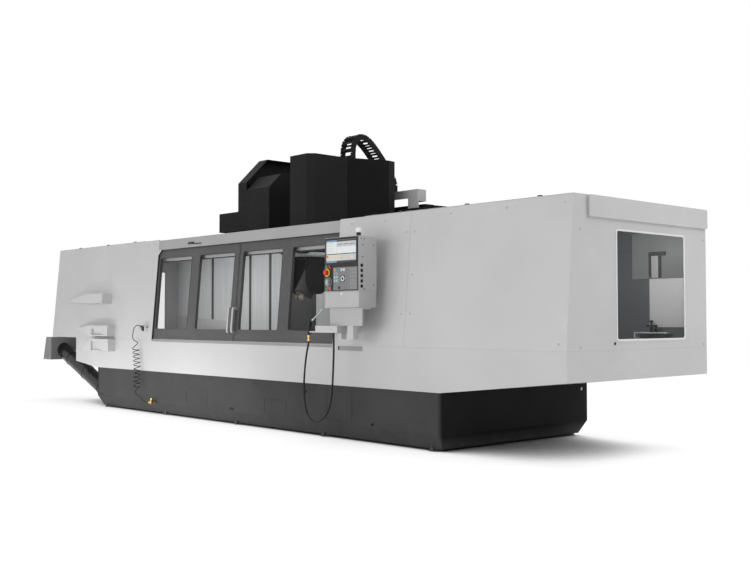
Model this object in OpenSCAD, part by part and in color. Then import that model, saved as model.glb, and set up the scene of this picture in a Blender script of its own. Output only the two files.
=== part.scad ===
// Long-bed vertical machining center with a two-axis spindle head, in millimetres.
// X runs along the bed, Y to the back, Z up; the origin is under the spindle on the floor.

/* [Base] */
// length of the base
base_l = 7000; // [6900:10:7100]
// depth of the base
base_d = 2290; // [2270:2:2330]
// height of the base top above the floor
base_top = 573; // [560:1:580]
// height of a leveling foot
foot_h = 25; // [20:1:32]
// radius of a leveling foot
foot_r = 70; // [55:1:85]
// height of the bevelled kick band
kick_h = 140; // [110:1:150]
// inset of the kick band at the floor
kick_in = 70; // [40:1:90]
// depth of the chip trough along the front
trough_h = 240; // [180:5:260]
// width of the chip trough
trough_w = 160; // [130:2:164]

/* [Enclosure] */
// overall length of the enclosure
enc_l = 9980; // [9900:10:10060]
// depth of the enclosure
enc_d = 2250; // [2240:2:2270]
// distance from the base front to the apron skin
skin_gap = 30; // [20:1:40]
// height of the fold between apron and upper panels
fold_z = 1000; // [990:1:1010]
// height of the enclosure top
enc_top = 2350; // [2340:1:2360]
// lean of the upper front, measured along Y
lean = 114; // [90:1:130]
// sheet thickness
sheet = 4; // [3:0.5:5]
// rise of the wing floors from base to end
wing_rise = 162; // [140:1:180]
// length of the corner notch for the chip discharge
notch_l = 830; // [800:2:860]
// depth of the corner notch for the chip discharge
notch_d = 420; // [410:2:450]
// position of the seam in the right front
seam_x = 3010; // [2950:5:3060]
// inner edge of the roof panels
roof_in = 2300; // [2200:10:2400]
// height of the turned-down band at each end
band_h = 190; // [150:2:210]
// thickness of the turned-down band
band_t = 24; // [16:1:30]
// depth of the door sill
sill_d = 68; // [64:0.5:70]

/* [Doors] */
// half width of the door opening
door_half = 1910; // [1890:1:1930]
// overlap of each door behind its front panel
door_lap = 60; // [40:1:80]
// thickness of a door frame
door_t = 35; // [30:1:40]
// depth of the doors behind the front skin
door_set = 20; // [18:0.5:24]
// width of a door window
win_w = 790; // [740:2:796]
// height of a door window
win_h = 953; // [900:2:970]
// height of the window sill above the fold
win_z = 147; // [130:1:160]
// corner radius of a window
win_r = 28; // [10:1:50]
// width of the meeting stile
meet_stile = 92; // [85:1:100]
// width of the stile between two windows
mid_stile = 194; // [180:2:200]
// height of the header above the fold
header_z = 1212; // [1200:1:1225]
// height of the header
header_h = 130; // [110:1:134]
// glass thickness
glass_t = 6; // [4:0.5:8]
// overlap of glass on its frame
glass_lap = 20; // [10:1:30]
// length of a door handle
handle_l = 320; // [280:5:360]
// reach of a door handle
handle_out = 70; // [55:1:85]
// width of a door handle
handle_w = 34; // [26:1:40]
// distance of a handle from the meeting line
handle_x = 44; // [38:1:50]

/* [End windows] */
// width of an end window
end_win_w = 1110; // [1050:5:1160]
// height of an end window
end_win_h = 975; // [920:5:1000]
// distance of the right end window behind the middle of its panel
end_win_y = 165; // [140:1:180]
// distance of the left end window behind the middle of its panel
left_win_y = 320; // [280:1:340]
// height of an end window sill above the fold
end_win_z = 92; // [80:1:120]

/* [Axes] */
// length of the table
table_l = 3700; // [3640:5:3740]
// width of the table
table_w = 712; // [680:2:730]
// thickness of the table
table_t = 105; // [95:1:115]
// width of a T-slot
slot_w = 18; // [14:1:22]
// spacing of the T-slots
slot_gap = 125; // [110:1:130]
// width of the saddle
saddle_w = 840; // [800:2:860]
// thickness of the saddle
saddle_t = 170; // [150:1:180]
// width of a guide rail
rail_w = 60; // [50:1:66]
// height of a guide rail
rail_h = 45; // [40:1:50]
// radius of a ball screw
screw_r = 25; // [20:0.5:27]
// running clearance of rails, screws and pivots
clear = 0.4; // [0.3:0.05:0.5]

/* [Column] */
// width of the column
col_w = 2092; // [2060:2:2120]
// depth of the column
col_d = 870; // [820:5:900]
// height of the column top above the floor
col_top = 2750; // [2735:1:2765]
// distance from the base back to the column front
col_gap = 140; // [135:1:150]

/* [Spindle head] */
// height of the tilt axis
tilt_z = 1720; // [1710:1:1730]
// tilt of the spindle at rest, in degrees
tilt_deg = 30; // [20:1:35]
// radius of the spindle cartridge
cart_r = 120; // [105:1:125]
// thickness of a fork arm
arm_t = 90; // [80:1:95]
// depth of a fork arm
arm_d = 300; // [260:2:320]
// radius of the swivel flange of the fork
fork_r = 225; // [215:1:235]
// height of the underside of the ram
ram_z = 2102; // [2095:1:2110]
// height of the ram
ram_h = 270; // [260:1:276]
// height of the head cover
cover_h = 1006; // [980:2:1020]
// width of the cable carrier
chain_w = 224; // [200:2:240]
// height of a cable carrier link
chain_h = 78; // [66:1:84]

/* [Tool changer] */
// left side of the tool changer cover
tc_left = -2229; // [-2260:1:-2200]
// right side of the tool changer cover
tc_right = -1000; // [-1010:1:-990]
// radius of the tool carousel
carousel_r = 420; // [400:1:430]
// number of tool pockets
pockets = 20; // [16:1:22]

/* [Chip discharge] */
// radius of the discharge tube
tube_r = 112; // [104:1:116]
// wall of the discharge tube
tube_wall = 6; // [4:1:8]
// slope of the discharge tube, in degrees
tube_deg = 21; // [20:0.2:21.6]
// height of the tube axis at the base
tube_z = 206; // [200:1:214]
// distance of the tube axis behind the base front
tube_y = 165; // [150:1:175]
// pitch of the auger flight
auger_pitch = 180; // [150:5:220]

/* [Pendant] */
// width of the pendant
pend_w = 526; // [500:2:540]
// depth of the pendant
pend_d = 239; // [220:1:246]
// height of the pendant face
pend_h = 548; // [530:2:560]
// height of the lower box of the pendant
pend_low = 166; // [140:2:180]
// left edge of the pendant
pend_x = 2175; // [2150:1:2200]
// bottom of the pendant above the floor
pend_z = 1389; // [1384:1:1394]
// distance from the base front to the pendant face
pend_out = 349; // [345:1:360]
// width of the screen
screen_w = 470; // [440:2:476]
// height of the screen
screen_h = 230; // [210:2:236]
// radius of the jog wheel
jog_r = 42; // [34:1:44]
// radius of the emergency stop
stop_r = 27; // [22:1:30]
// radius of a push button
button_r = 13; // [10:0.5:14]
// travel of a push button
press = 5; // [3:0.5:6]

/* [Hidden] */

light = [0.80, 0.80, 0.79];
dark = [0.27, 0.28, 0.29];
black = [0.07, 0.07, 0.075];
steel = [0.62, 0.63, 0.64];
brass = [0.75, 0.58, 0.28];

front = -base_d / 2;
kick_z = foot_h + kick_h;
skin_y = front - skin_gap;
rear_y = skin_y + enc_d;
half = enc_l / 2;
wing_z = base_top + wing_rise;
notch_x = -half + notch_l;
notch_y = skin_y + notch_d;
lean_deg = atan(lean / (enc_top - fold_z));
panel_h = (enc_top - fold_z - 1.5) / cos(lean_deg);
edge = 0.8;
sill_half = 2 * door_half + door_lap;
door_low = 12;
door_high = header_z + header_h - 42;
col_y = -front + col_gap;
col_rear = col_y + col_d;
table_z = base_top + 67 + saddle_t + 70;
table_top = table_z + table_t;
x_screw_z = table_z - 35;
y_screw_z = base_top + 33;
saddle_l = table_l + 2 * 1840;
rail_x = [-2700, -900, 900, 2700];
rail_y = 250;
truck_x = 1400;
truck_l = 200;
y_rail_end = 930;
y_bearing = -700;
y_drive = 948;
z_rail_x = 380;
carriage_y = col_y - 64;
z_screw_y = col_y - 32;
fork_gap = 2;
arm_in = cart_r + 15;
arm_low = tilt_z - 130;
cover_z = ram_z + ram_h;
pend_y = front - pend_out;
pend_cx = pend_x + pend_w / 2;
pend_cy = pend_y + 119;
face_z = pend_z + pend_low;
screen_x = pend_x + 18;
screen_z = face_z + 290;
tube_len = (half - base_l / 2) / cos(tube_deg);
spout_z = tube_z + (half - base_l / 2) * tan(tube_deg);
spout_top = spout_z + 212;
spout_low = spout_z - 141;
tray_z = pend_z - 182;
gun_x = 1884;
gun_y = pend_y + 20;
gun_z = tray_z - 99;
air_x = -door_half - 130;
chain_x = 55;
post_top = 3014;
post_x = 425;
post_w = 185;
changer_y = front + 1250;
step_x = -1542;
inner_x = -1747;
carousel_y = changer_y + 560;
carousel_z = 2850;

// outer plane of the leaning front at height z
function skin_at(z) = skin_y + lean * (z - fold_z) / (enc_top - fold_z);
// underside of the wing floor at x
function wing_at(x) = base_top + wing_rise * (abs(x) - base_l / 2) / (half - base_l / 2);

// points of the cable carrier, as [y, z]
chain_path = [[625, cover_z + cover_h - 1.7], [625, 3470], [632, 3558], [664, 3640], [728, 3694],
  [812, 3702], [896, 3672], [972, 3618], [1040, 3556], [1105, 3490], [1170, 3422], [1232, 3352],
  [1292, 3278], [1350, 3200], [col_y + 102, 3110], [col_y + 102, post_top - 1.7]];
// points of the wash hose, as [x, y, z]
wash_path = [[2258, gun_y + 30, tray_z - 72], [2258, gun_y + 30, 1060], [2258, gun_y + 29, 900],
  [2252, gun_y + 27, 740], [2244, gun_y + 24, 580], [2228, gun_y + 20, 450], [2196, gun_y + 15, 350],
  [2140, gun_y + 10, 272], [2060, gun_y + 6, 222], [1980, gun_y + 3, 212], [1900, gun_y, 248],
  [1846, gun_y, 320], [1816, gun_y, 430], [1806, gun_y, 580], [1818, gun_y, 740], [1846, gun_y, 900],
  [1872, gun_y, 990], [gun_x, gun_y, gun_z - 64]];
// points of the coil hose, as [x, y, z, radius]
coil_y = front - 100;
coil_path = [[air_x - 57, front - 86, 1172, 5], [-2150, front - 90, 1186, 5], [-2220, front - 94, 1180, 5],
  [-2268, front - 98, 1140, 5], [-2284, coil_y, 1080, 5], [-2268, coil_y, 1010, 5],
  [-2240, coil_y, 950, 6], [-2222, coil_y, 920, 40], [-2204, coil_y, 860, 46], [-2190, coil_y, 780, 46],
  [-2178, coil_y, 700, 46], [-2168, coil_y, 620, 46], [-2166, coil_y, 540, 46], [-2174, coil_y, 460, 46],
  [-2176, coil_y, 400, 46], [-2160, coil_y, 340, 46], [-2124, coil_y, 280, 46], [-2080, coil_y, 230, 46],
  [-2030, coil_y, 190, 40], [-2000, coil_y + 8, 176, 6], [-1950, coil_y + 20, 160, 5],
  [-1902, coil_y + 36, 160, 5]];

module slab(a, b) {
  translate(a) cube(b - a);
}

module along_x(x0, x1, pts) {
  translate([x0, 0, 0]) rotate([90, 0, 90]) linear_extrude(x1 - x0) polygon(pts);
}

module along_y(y0, y1, pts) {
  translate([0, y1, 0]) rotate([90, 0, 0]) linear_extrude(y1 - y0) polygon(pts);
}

module rod_x(x0, x1, y, z, r) {
  translate([x0, y, z]) rotate([0, 90, 0]) cylinder(r = r, h = x1 - x0, $fn = 48);
}

module rod_y(y0, y1, x, z, r) {
  translate([x, y0, z]) rotate([-90, 0, 0]) cylinder(r = r, h = y1 - y0, $fn = 48);
}

module rod_z(z0, z1, x, y, r) {
  translate([x, y, z0]) cylinder(r = r, h = z1 - z0, $fn = 48);
}

// a rectangle with true round corners, from the corner at the origin
module round_rect(w, h, r) {
  translate([r, 0]) square([w - 2 * r, h]);
  translate([0, r]) square([w, h - 2 * r]);
  for (x = [r, w - r], y = [r, h - r]) translate([x, y]) circle(r = r, $fn = 48);
}

// the leaning plane of the upper front: x along, y into the machine, z up the slope
module on_front() {
  translate([0, skin_y, fold_z]) rotate([-lean_deg, 0, 0]) children();
}

// the tilted spindle: z along the spindle, origin on the tilt axis
module on_spindle() {
  translate([0, 0, tilt_z]) rotate([-tilt_deg, 0, 0]) children();
}

// the inclined chip discharge: z up the tube from the base end
module on_tube() {
  translate([-base_l / 2, front + tube_y, tube_z]) rotate([0, tube_deg - 90, 0]) children();
}

// a tube swept along points [x, y, z, radius] with rings square to its run
module sweep(path, sides) {
  n = len(path);
  function at(i) = [path[i][0], path[i][1], path[i][2]];
  function run(i) = at(min(n - 1, i + 1)) - at(max(0, i - 1));
  function unit(v) = v / norm(v);
  function across(i) = unit(cross(run(i), [0, 1, 0.001]));
  function over(i) = unit(cross(run(i), across(i)));
  points = [for (i = [0:n - 1], k = [0:sides - 1])
    at(i) + path[i][3] * (cos(360 * k / sides) * across(i) + sin(360 * k / sides) * over(i))];
  skin = [for (i = [0:n - 2], k = [0:sides - 1], t = [0, 1]) let (a = i * sides + k,
    b = i * sides + (k + 1) % sides) t == 0 ? [a, a + sides, b] : [b, a + sides, b + sides]];
  first = [for (k = [0:sides - 1]) k];
  last = [for (k = [sides - 1:-1:0]) (n - 1) * sides + k];
  polyhedron(points, concat([first], skin, [last]));
}

// a shallow outline cut into the base front
module reveal(x0, x1, z0, z1) {
  difference() {
    slab([x0, front - 1, z0], [x1, front + 3, z1]);
    slab([x0 + 6, front - 2, z0 + 6], [x1 - 6, front + 4, z1 - 6]);
  }
}

module base() {
  kick_y = [[front + kick_in, foot_h], [front, kick_z], [front, base_top], [-front, base_top],
    [-front, kick_z], [-front - kick_in, foot_h]];
  kick_x = [[kick_in - base_l / 2, foot_h], [-base_l / 2, kick_z], [-base_l / 2, base_top],
    [base_l / 2, base_top], [base_l / 2, kick_z], [base_l / 2 - kick_in, foot_h]];
  trough_y = front + 45;
  color(dark) difference() {
    union() {
      intersection() {
        along_x(-base_l / 2, base_l / 2, kick_y);
        along_y(front, -front, kick_x);
      }
      slab([-col_w / 2 - 60, 0, foot_h], [col_w / 2 + 60, col_rear + 100, base_top]);
    }
    slab([400 - base_l / 2, trough_y, base_top - trough_h],
      [base_l / 2 - 400, trough_y + trough_w, base_top + 1]);
    slab([-base_l / 2 - 1, front + tube_y - 70, 120], [600 - base_l / 2, front + tube_y + 70, 320]);
    slab([401 - base_l / 2, front + tube_y - 70, 300],
      [600 - base_l / 2, front + tube_y + 70, base_top - trough_h + 10]);
    reveal(-1060, -560, kick_z + 30, kick_z + 190);
    reveal(640, 1060, kick_z + 30, kick_z + 190);
    reveal(1780, 2200, kick_z + 30, base_top - 40);
    for (x = [-60, -10]) slab([x, front - 1, kick_z + 12], [x + 28, front + 12, kick_z + 44]);
    rod_x(base_l / 2 - 60, base_l / 2 + 1, -front - 90, base_top - 60, 22);
  }
}

module leveling_feet() {
  profile = [[0, 0], [foot_r, 0], [foot_r, 9], [foot_r * 0.45, 16], [foot_r * 0.45, foot_h], [0, foot_h]];
  reach_x = base_l / 2 - kick_in - 110;
  reach_y = base_d / 2 - kick_in - 35;
  rows = [for (x = [-1:0.5:1], y = [-1, 1]) [x * reach_x, y * reach_y]];
  spots = concat([[0, 0], [-col_w / 2, col_rear], [col_w / 2, col_rear]], rows);
  color(steel) for (p = spots) translate(p) rotate_extrude($fn = 32) polygon(profile);
}

module chip_pan() {
  wall = [[-half, wing_z], [-base_l / 2, base_top], [base_l / 2, base_top], [half, wing_z], [half, fold_z],
    [-half, fold_z]];
  apron = [[notch_x, wing_at(notch_x)], [-base_l / 2, base_top], [base_l / 2, base_top], [half, wing_z],
    [half, fold_z], [notch_x, fold_z]];
  right_floor = [[base_l / 2, base_top], [half, wing_z], [half, wing_z + sheet],
    [base_l / 2, base_top + sheet]];
  left_floor = [[-base_l / 2, base_top], [-half, wing_z], [-half, wing_z + sheet],
    [-base_l / 2, base_top + sheet]];
  corner_floor = [[-base_l / 2, base_top], [notch_x, wing_at(notch_x)], [notch_x, wing_at(notch_x) + sheet],
    [-base_l / 2, base_top + sheet]];
  color(light) {
    along_y(skin_y, skin_y + sheet, apron);
    along_y(rear_y - sheet, rear_y, wall);
    slab([half - sheet, skin_y, wing_z], [half, rear_y, fold_z]);
    slab([-half, notch_y - sheet, wing_z], [-half + sheet, rear_y, fold_z]);
    along_y(skin_y, rear_y, right_floor);
    along_y(notch_y - sheet, rear_y, left_floor);
    along_y(skin_y, notch_y, corner_floor);
    slab([notch_x, skin_y, wing_at(notch_x)], [notch_x + sheet, notch_y, fold_z]);
    along_y(notch_y - sheet, notch_y, [[-half, wing_z], [notch_x + sheet, wing_at(notch_x)],
      [notch_x + sheet, fold_z], [-half, fold_z]]);
    slab([-half, skin_y, fold_z - sheet], [notch_x + sheet, notch_y, fold_z]);
    slab([-sill_half, skin_y, fold_z - sheet], [sill_half, skin_y + sill_d, fold_z]);
    on_front() slab([-sill_half, door_set + 8, -3], [sill_half, door_set + door_t - 8, door_low - clear]);
    slab([-base_l / 2, skin_y, base_top], [base_l / 2, front + 40, base_top + sheet]);
    slab([-base_l / 2, rear_y - 20, base_top], [base_l / 2, rear_y, base_top + sheet]);
  }
}

module left_front_panel() {
  color(light) on_front() {
    slab([sheet - half + clear, 0, edge], [-door_half, sheet, panel_h]);
    slab([-door_half - sheet, 0, 2 * edge], [-door_half, 12, panel_h]);
  }
}

module right_front_panel() {
  color(light) on_front() {
    slab([door_half, 0, edge], [seam_x - 1, sheet, panel_h]);
    slab([door_half, 0, 2 * edge], [door_half + sheet, 12, panel_h]);
    slab([seam_x - 30, sheet / 2, edge + 20], [seam_x - 1, 2 * sheet, panel_h - 20]);
    slab([seam_x - 30, sheet, edge + 20], [seam_x + 30, 2 * sheet, panel_h - 20]);
  }
}

module right_wing_panel() {
  color(light) on_front() slab([seam_x + 1, 0, edge], [half - sheet - clear, sheet, panel_h]);
}

module door_header() {
  w = door_half - clear;
  color(light) on_front() {
    slab([-w, 2, header_z], [w, 2 + sheet, header_z + header_h]);
    slab([-w, 2, header_z + header_h - 4], [w, door_set + door_t + 24, header_z + header_h]);
    slab([-w, door_set + door_t + 20, door_high - 40], [w, door_set + door_t + 24, header_z + header_h]);
  }
}

module end_panel(x, win_y) {
  mid = (skin_y + rear_y) / 2 + win_y;
  low = fold_z + edge;
  color(light) difference() {
    along_x(x, x + sheet, [[skin_y, low], [skin_y + lean, enc_top], [rear_y, enc_top], [rear_y, low]]);
    translate([x - 1, mid - end_win_w / 2, fold_z + end_win_z]) rotate([90, 0, 90])
      linear_extrude(sheet + 2) round_rect(end_win_w, end_win_h, win_r);
  }
}

module left_end_panel() {
  end_panel(-half, left_win_y);
}

module right_end_panel() {
  end_panel(half - sheet, end_win_y);
}

module end_windows() {
  mid = (skin_y + rear_y) / 2;
  w = end_win_w / 2 + glass_lap;
  low = fold_z + end_win_z - glass_lap;
  high = fold_z + end_win_z + end_win_h + glass_lap;
  color([0.6, 0.65, 0.66, 0.4]) for (p = [[sheet - half, mid + left_win_y],
    [half - sheet - glass_t, mid + end_win_y]])
    slab([p[0], p[1] - w, low], [p[0] + glass_t, p[1] + w, high]);
}

module rear_wall() {
  low = fold_z + edge;
  gap = 480;
  color(steel) along_y(rear_y - sheet, rear_y, [[sheet - half, low], [half - sheet, low],
    [half - sheet, enc_top], [gap, enc_top], [gap, 1600], [-gap, 1600], [-gap, enc_top],
    [sheet - half, enc_top]]);
}

module roof_panel() {
  y0 = skin_y + lean;
  band_y = y0 + 190;
  slab([roof_in, y0, enc_top], [half, rear_y, enc_top + sheet]);
  slab([half - 1, band_y + 20, enc_top], [half + band_t, rear_y - 20, enc_top + sheet]);
  translate([half, band_y, enc_top + sheet - band_h]) rotate([90, 0, 90])
    linear_extrude(band_t) round_rect(rear_y - band_y, band_h, 20);
}

module roof_panels() {
  color(light) {
    roof_panel();
    mirror([1, 0, 0]) roof_panel();
  }
}

// a folded cover that thins out towards its left tip
module wall_fairings() {
  color(light) {
    on_front() hull() {
      slab([-3660, -155, 492], [-3132, -0.2, 629]);
      slab([-4602, -6, 532], [-4590, -0.2, 546]);
    }
    on_front() difference() {
      hull() {
        slab([-3500, -120, 20], [-2956, -0.2, 172]);
        slab([-4177, -6, 126], [-4165, -0.2, 142]);
      }
      translate([0, -90, 0]) rotate([90, 0, 0]) linear_extrude(60)
        polygon([[-3440, 34], [-3040, 34], [-3440, 130]]);
    }
    difference() {
      hull() {
        slab([-3480, skin_y - 110, fold_z - 185], [-2930, skin_y - 0.2, fold_z - 12]);
        slab([-4031, skin_y - 6, fold_z - 188], [-4019, skin_y - 0.2, fold_z - 170]);
      }
      translate([0, skin_y - 85, fold_z]) rotate([90, 0, 0]) linear_extrude(60)
        polygon([[-3460, -36], [-3460, -172], [-3120, -172]]);
    }
  }
}

module column() {
  side = col_w / 2;
  color(black) difference() {
    slab([-side, col_y, base_top], [side, col_rear, col_top]);
    for (s = [0, 1], z = [150, 830, 1510]) mirror([s, 0, 0]) slab([side - 120, col_y + 130, base_top + z],
      [side + 1, col_rear - 130, base_top + z + 540]);
  }
  color(black) slab([-620, col_y + 220, col_top - 1], [620, col_y + 400, col_top + 72]);
}

module guide_rails() {
  color(steel) {
    for (x = rail_x) slab([x - rail_w / 2, -y_rail_end, base_top],
      [x + rail_w / 2, y_rail_end, base_top + rail_h]);
    for (s = [-1, 1]) slab([s * z_rail_x - rail_w / 2, col_y - rail_h, 1150],
      [s * z_rail_x + rail_w / 2, col_y, col_top - 20]);
  }
}

module drive_motors() {
  reach = (half + 95 - base_l / 2) / cos(tube_deg);
  color(black) {
    difference() {
      slab([-65, y_drive, base_top], [65, rear_y - 24, base_top + 100]);
      rod_y(y_drive - 1, y_drive + 32, 0, y_screw_z, screw_r * 0.6 + clear);
    }
    difference() {
      slab([-65, y_bearing - 60, base_top], [65, y_bearing, base_top + 64]);
      rod_y(y_bearing - 22, y_bearing + 1, 0, y_screw_z, screw_r * 0.6 + clear);
    }
    difference() {
      slab([-65, col_y - 54, col_top], [65, col_y + 76, col_top + 250]);
      rod_z(col_top - 1, col_top + 30, 0, z_screw_y, screw_r * 0.6 + clear);
    }
    difference() {
      slab([-70, col_y - 58, 1640], [70, col_y, 1690]);
      rod_z(1670, 1691, 0, z_screw_y, screw_r * 0.6 + clear);
    }
    intersection() {
      on_tube() translate([0, 0, reach]) difference() {
        cylinder(r = 58, h = 240, $fn = 48);
        translate([0, 0, -1]) cylinder(r = 20 + clear, h = 31, $fn = 48);
      }
      slab([-half - 186 + sheet, front - 40, spout_low + 3], [-half - 60, front + 370, spout_top - 10]);
    }
    slab([-half - 150, front + tube_y - 20, spout_z + 92],
      [-half - 90, front + tube_y + 20, spout_top - sheet]);
  }
}

// the shape of the changer cover, drawn in by a wall
module changer_shape(w, low) {
  y0 = changer_y + w;
  y1 = col_y - w;
  c = w * 0.414;
  along_x(inner_x + w, step_x + w, [[y0, 2530 - low], [y0, 3203 - c], [y0 + 362, 3565 - w], [y1, 3565 - w],
    [y1, 2530 - low]]);
  along_x(step_x - w, tc_right - w, [[y0, 2400 - low], [y0, 3089 - c], [y0 + 199, 3288 - w],
    [y1, 3288 - w], [y1, 2400 - low]]);
  along_x(tc_left + w, inner_x + 2 * w, [[y0, 2530 - low], [y0, 2803 - w], [y1, 2803 - w],
    [y1, 2530 - low]]);
}

module tool_changer_cover() {
  color(black) {
    difference() {
      changer_shape(0, 0);
      changer_shape(6, 1);
    }
    rod_x(step_x - 120, tc_right - 3, carousel_y, carousel_z, 40);
    slab([step_x - 120, changer_y + 3, carousel_z - 60], [step_x - 90, col_y - 3, carousel_z + 60]);
  }
}

module tool_carousel() {
  ring = carousel_r - 60;
  color(steel) difference() {
    union() {
      rod_x(step_x + 60, step_x + 180, carousel_y, carousel_z, carousel_r);
      rod_x(step_x + 20, step_x + 300, carousel_y, carousel_z, 90);
    }
    rod_x(step_x, step_x + 320, carousel_y, carousel_z, 40 + clear);
    for (k = [0:pockets - 1]) rod_x(step_x + 100, step_x + 200, carousel_y + ring * cos(360 * k / pockets),
      carousel_z + ring * sin(360 * k / pockets), 38);
  }
}

module carrier_post() {
  y = col_y + 90;
  color(light) {
    slab([post_x, y, col_top], [post_x + post_w, y + 24, post_top]);
    slab([-60, y, post_top - 110], [post_x + 1, y + 24, post_top]);
    slab([post_x, y, post_top - 157], [post_x + post_w, y + 160, post_top]);
  }
}

// one link of the cable carrier between two path points
module chain_link(a, b) {
  along = (b - a) / norm(b - a);
  out = [along[1], -along[0]] * chain_h / 2;
  p = a + along * 2;
  q = b - along * 2;
  plate = [p - out, p + out, q + out, q - out];
  m = (a + b) / 2;
  bar = along * 14;
  for (x = [chain_x - chain_w / 2, chain_x + chain_w / 2 - 16]) along_x(x, x + 16, plate);
  for (s = [-1, 1]) along_x(chain_x - chain_w / 2 + 1, chain_x + chain_w / 2 - 1, [m - bar + s * out * 0.98,
    m + bar + s * out * 0.98, m + bar + s * out * 0.8, m - bar + s * out * 0.8]);
}

module cable_carrier() {
  color(black) {
    for (i = [0:len(chain_path) - 2]) chain_link(chain_path[i], chain_path[i + 1]);
    for (x = [chain_x - chain_w / 2 + 3, chain_x + chain_w / 2 - 13])
      for (i = [1:len(chain_path) - 2]) rod_x(x, x + 10, chain_path[i][0], chain_path[i][1], 12);
  }
}

module discharge_tube() {
  color(black) intersection() {
    on_tube() translate([0, 0, -200]) difference() {
      cylinder(r = tube_r, h = tube_len + 400, $fn = 64);
      translate([0, 0, -1]) cylinder(r = tube_r - tube_wall, h = tube_len + 402, $fn = 64);
    }
    slab([-half, front - 200, 0], [-base_l / 2, front + 600, 1200]);
  }
}

module discharge_head() {
  y0 = front - 50;
  y1 = front + 380;
  color(dark) difference() {
    along_y(y0, y1, [[-half, spout_low], [-half, spout_top], [-half - 186, spout_top],
      [-half - 280, spout_low]]);
    along_y(y0 + sheet, y1 - sheet, [[-half - sheet, spout_low - 37], [-half - sheet, spout_top - sheet],
      [-half - 186 + sheet, spout_top - sheet], [-half - 280 + sheet, spout_low],
      [-half - 290 + sheet, spout_low - 37]]);
    on_tube() translate([0, 0, tube_len - 150]) cylinder(r = tube_r - tube_wall, h = 240, $fn = 64);
  }
}

// a ribbon flight wound about z, from height a to height b
module flight(a, b, pitch, r_in, r_out, thick) {
  steps = floor((b - a) / pitch * 10);
  function spoke(i, r, z) = let (t = i / steps) [r * cos(360 * t * (b - a) / pitch),
    r * sin(360 * t * (b - a) / pitch), a + t * (b - a - thick) + z];
  points = [for (i = [0:steps]) each [spoke(i, r_in, 0), spoke(i, r_out, 0), spoke(i, r_out, thick),
    spoke(i, r_in, thick)]];
  sides = [for (i = [0:steps - 1], k = [0:3], t = [0, 1]) let (p = 4 * i + k, q = 4 * i + (k + 1) % 4)
    t == 0 ? [p, q, p + 4] : [q, q + 4, p + 4]];
  last = 4 * steps;
  polyhedron(points, concat([[3, 2, 1, 0]], sides, [[last, last + 1, last + 2, last + 3]]));
}

module chip_auger() {
  run = (half + 60 - base_l / 2) / cos(tube_deg);
  color(steel) on_tube() {
    flight(80, run, auger_pitch, 32, tube_r - tube_wall - 10, 10);
    translate([0, 0, run - 40]) cylinder(r = 40, h = 40, $fn = 48);
    translate([0, 0, run - 1]) cylinder(r = 20, h = (95 - 60) / cos(tube_deg) + 29, $fn = 48);
  }
}

// a wide front plate on an arm that stands off the enclosure, with the swivel pin of the pendant
module pendant_bracket() {
  low = tray_z;
  high = pend_z - 1;
  x0 = pend_x + 22;
  color(light) {
    slab([x0, pend_y + 50, low], [pend_x + pend_w - 5, pend_y + 66, high]);
    slab([x0, pend_y + 50, high - 16], [pend_x + pend_w - 5, pend_cy + 50, high]);
    along_x(x0 + 4, x0 + 154, [[pend_y + 60, low + 6], [pend_y + 60, high - 1],
      [skin_at(high) - 0.3, high - 1], [skin_at(low) - 0.3, low + 6]]);
    rod_z(high - 10, pend_z + 46, pend_cx, pend_cy, 30);
  }
}

module work_tray() {
  x0 = pend_x - 169;
  x1 = pend_x + 183;
  y0 = pend_y + 10;
  color(light) difference() {
    union() {
      along_x(x0, x1, [[y0, tray_z - 72], [y0, tray_z], [skin_at(tray_z) - 0.3, tray_z],
        [skin_at(tray_z - 72) - 0.3, tray_z - 72]]);
      slab([gun_x + 16 + clear, gun_y - 5, tray_z - 72], [x0 + 1, gun_y + 5, tray_z - 60]);
    }
    slab([x0 + sheet, y0 + sheet, tray_z - 72 + sheet], [x1 - sheet, skin_y - 30, tray_z + 1]);
  }
}

module wash_gun() {
  color(black) {
    rod_z(gun_z, gun_z + 108, gun_x, gun_y, 16);
    slab([gun_x - 26, gun_y - 15, gun_z + 102], [gun_x + 30, gun_y + 15, gun_z + 148]);
    slab([gun_x + 24, gun_y - 4, gun_z + 42], [gun_x + 32, gun_y + 4, gun_z + 106]);
    translate([gun_x + 22, gun_y, gun_z + 128]) rotate([0, 56, 0]) cylinder(r = 6, h = 250, $fn = 24);
  }
}

module wash_hose() {
  color(black) sweep([for (p = wash_path) [p[0], p[1], p[2], 10]], 10);
}

module air_gun() {
  y = front - 86;
  color(black) {
    rod_x(air_x - 57, air_x + 30, y, 1172, 14);
    slab([air_x - 12, y - 10, 1112], [air_x + 14, y + 10, 1164]);
    slab([air_x - 40, y - 4, 1126], [air_x - 32, y + 4, 1162]);
    slab([air_x - 30, y, 1160], [air_x + 20, skin_at(1160) - 0.3, 1166]);
  }
}

module coil_hose() {
  color(black) sweep(coil_path, 10);
}

module hose_fittings() {
  color(brass) {
    rod_z(gun_z - 64, gun_z, gun_x, gun_y, 13);
    rod_x(-1902, -1850, coil_y + 36, 160, 11);
    slab([-1850, coil_y + 20, 140], [-1810, coil_y + 52, 200]);
    rod_y(coil_y + 51, front - clear, -1830, 160, 12);
  }
}

module control_cabinet() {
  y1 = col_rear + 400;
  color(light) difference() {
    union() {
      slab([-650, col_rear, 800], [650, y1, 2500]);
      slab([-600, y1 - 1, 850], [600, y1 + 14, 2450]);
      for (z = [1100, 1650, 2200]) slab([560, y1 + 10, z - 40], [585, y1 + 34, z + 40]);
    }
    for (k = [0:7]) slab([-420, y1 + 2, 2150 + 30 * k], [-120, y1 + 20, 2162 + 30 * k]);
  }
}

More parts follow.
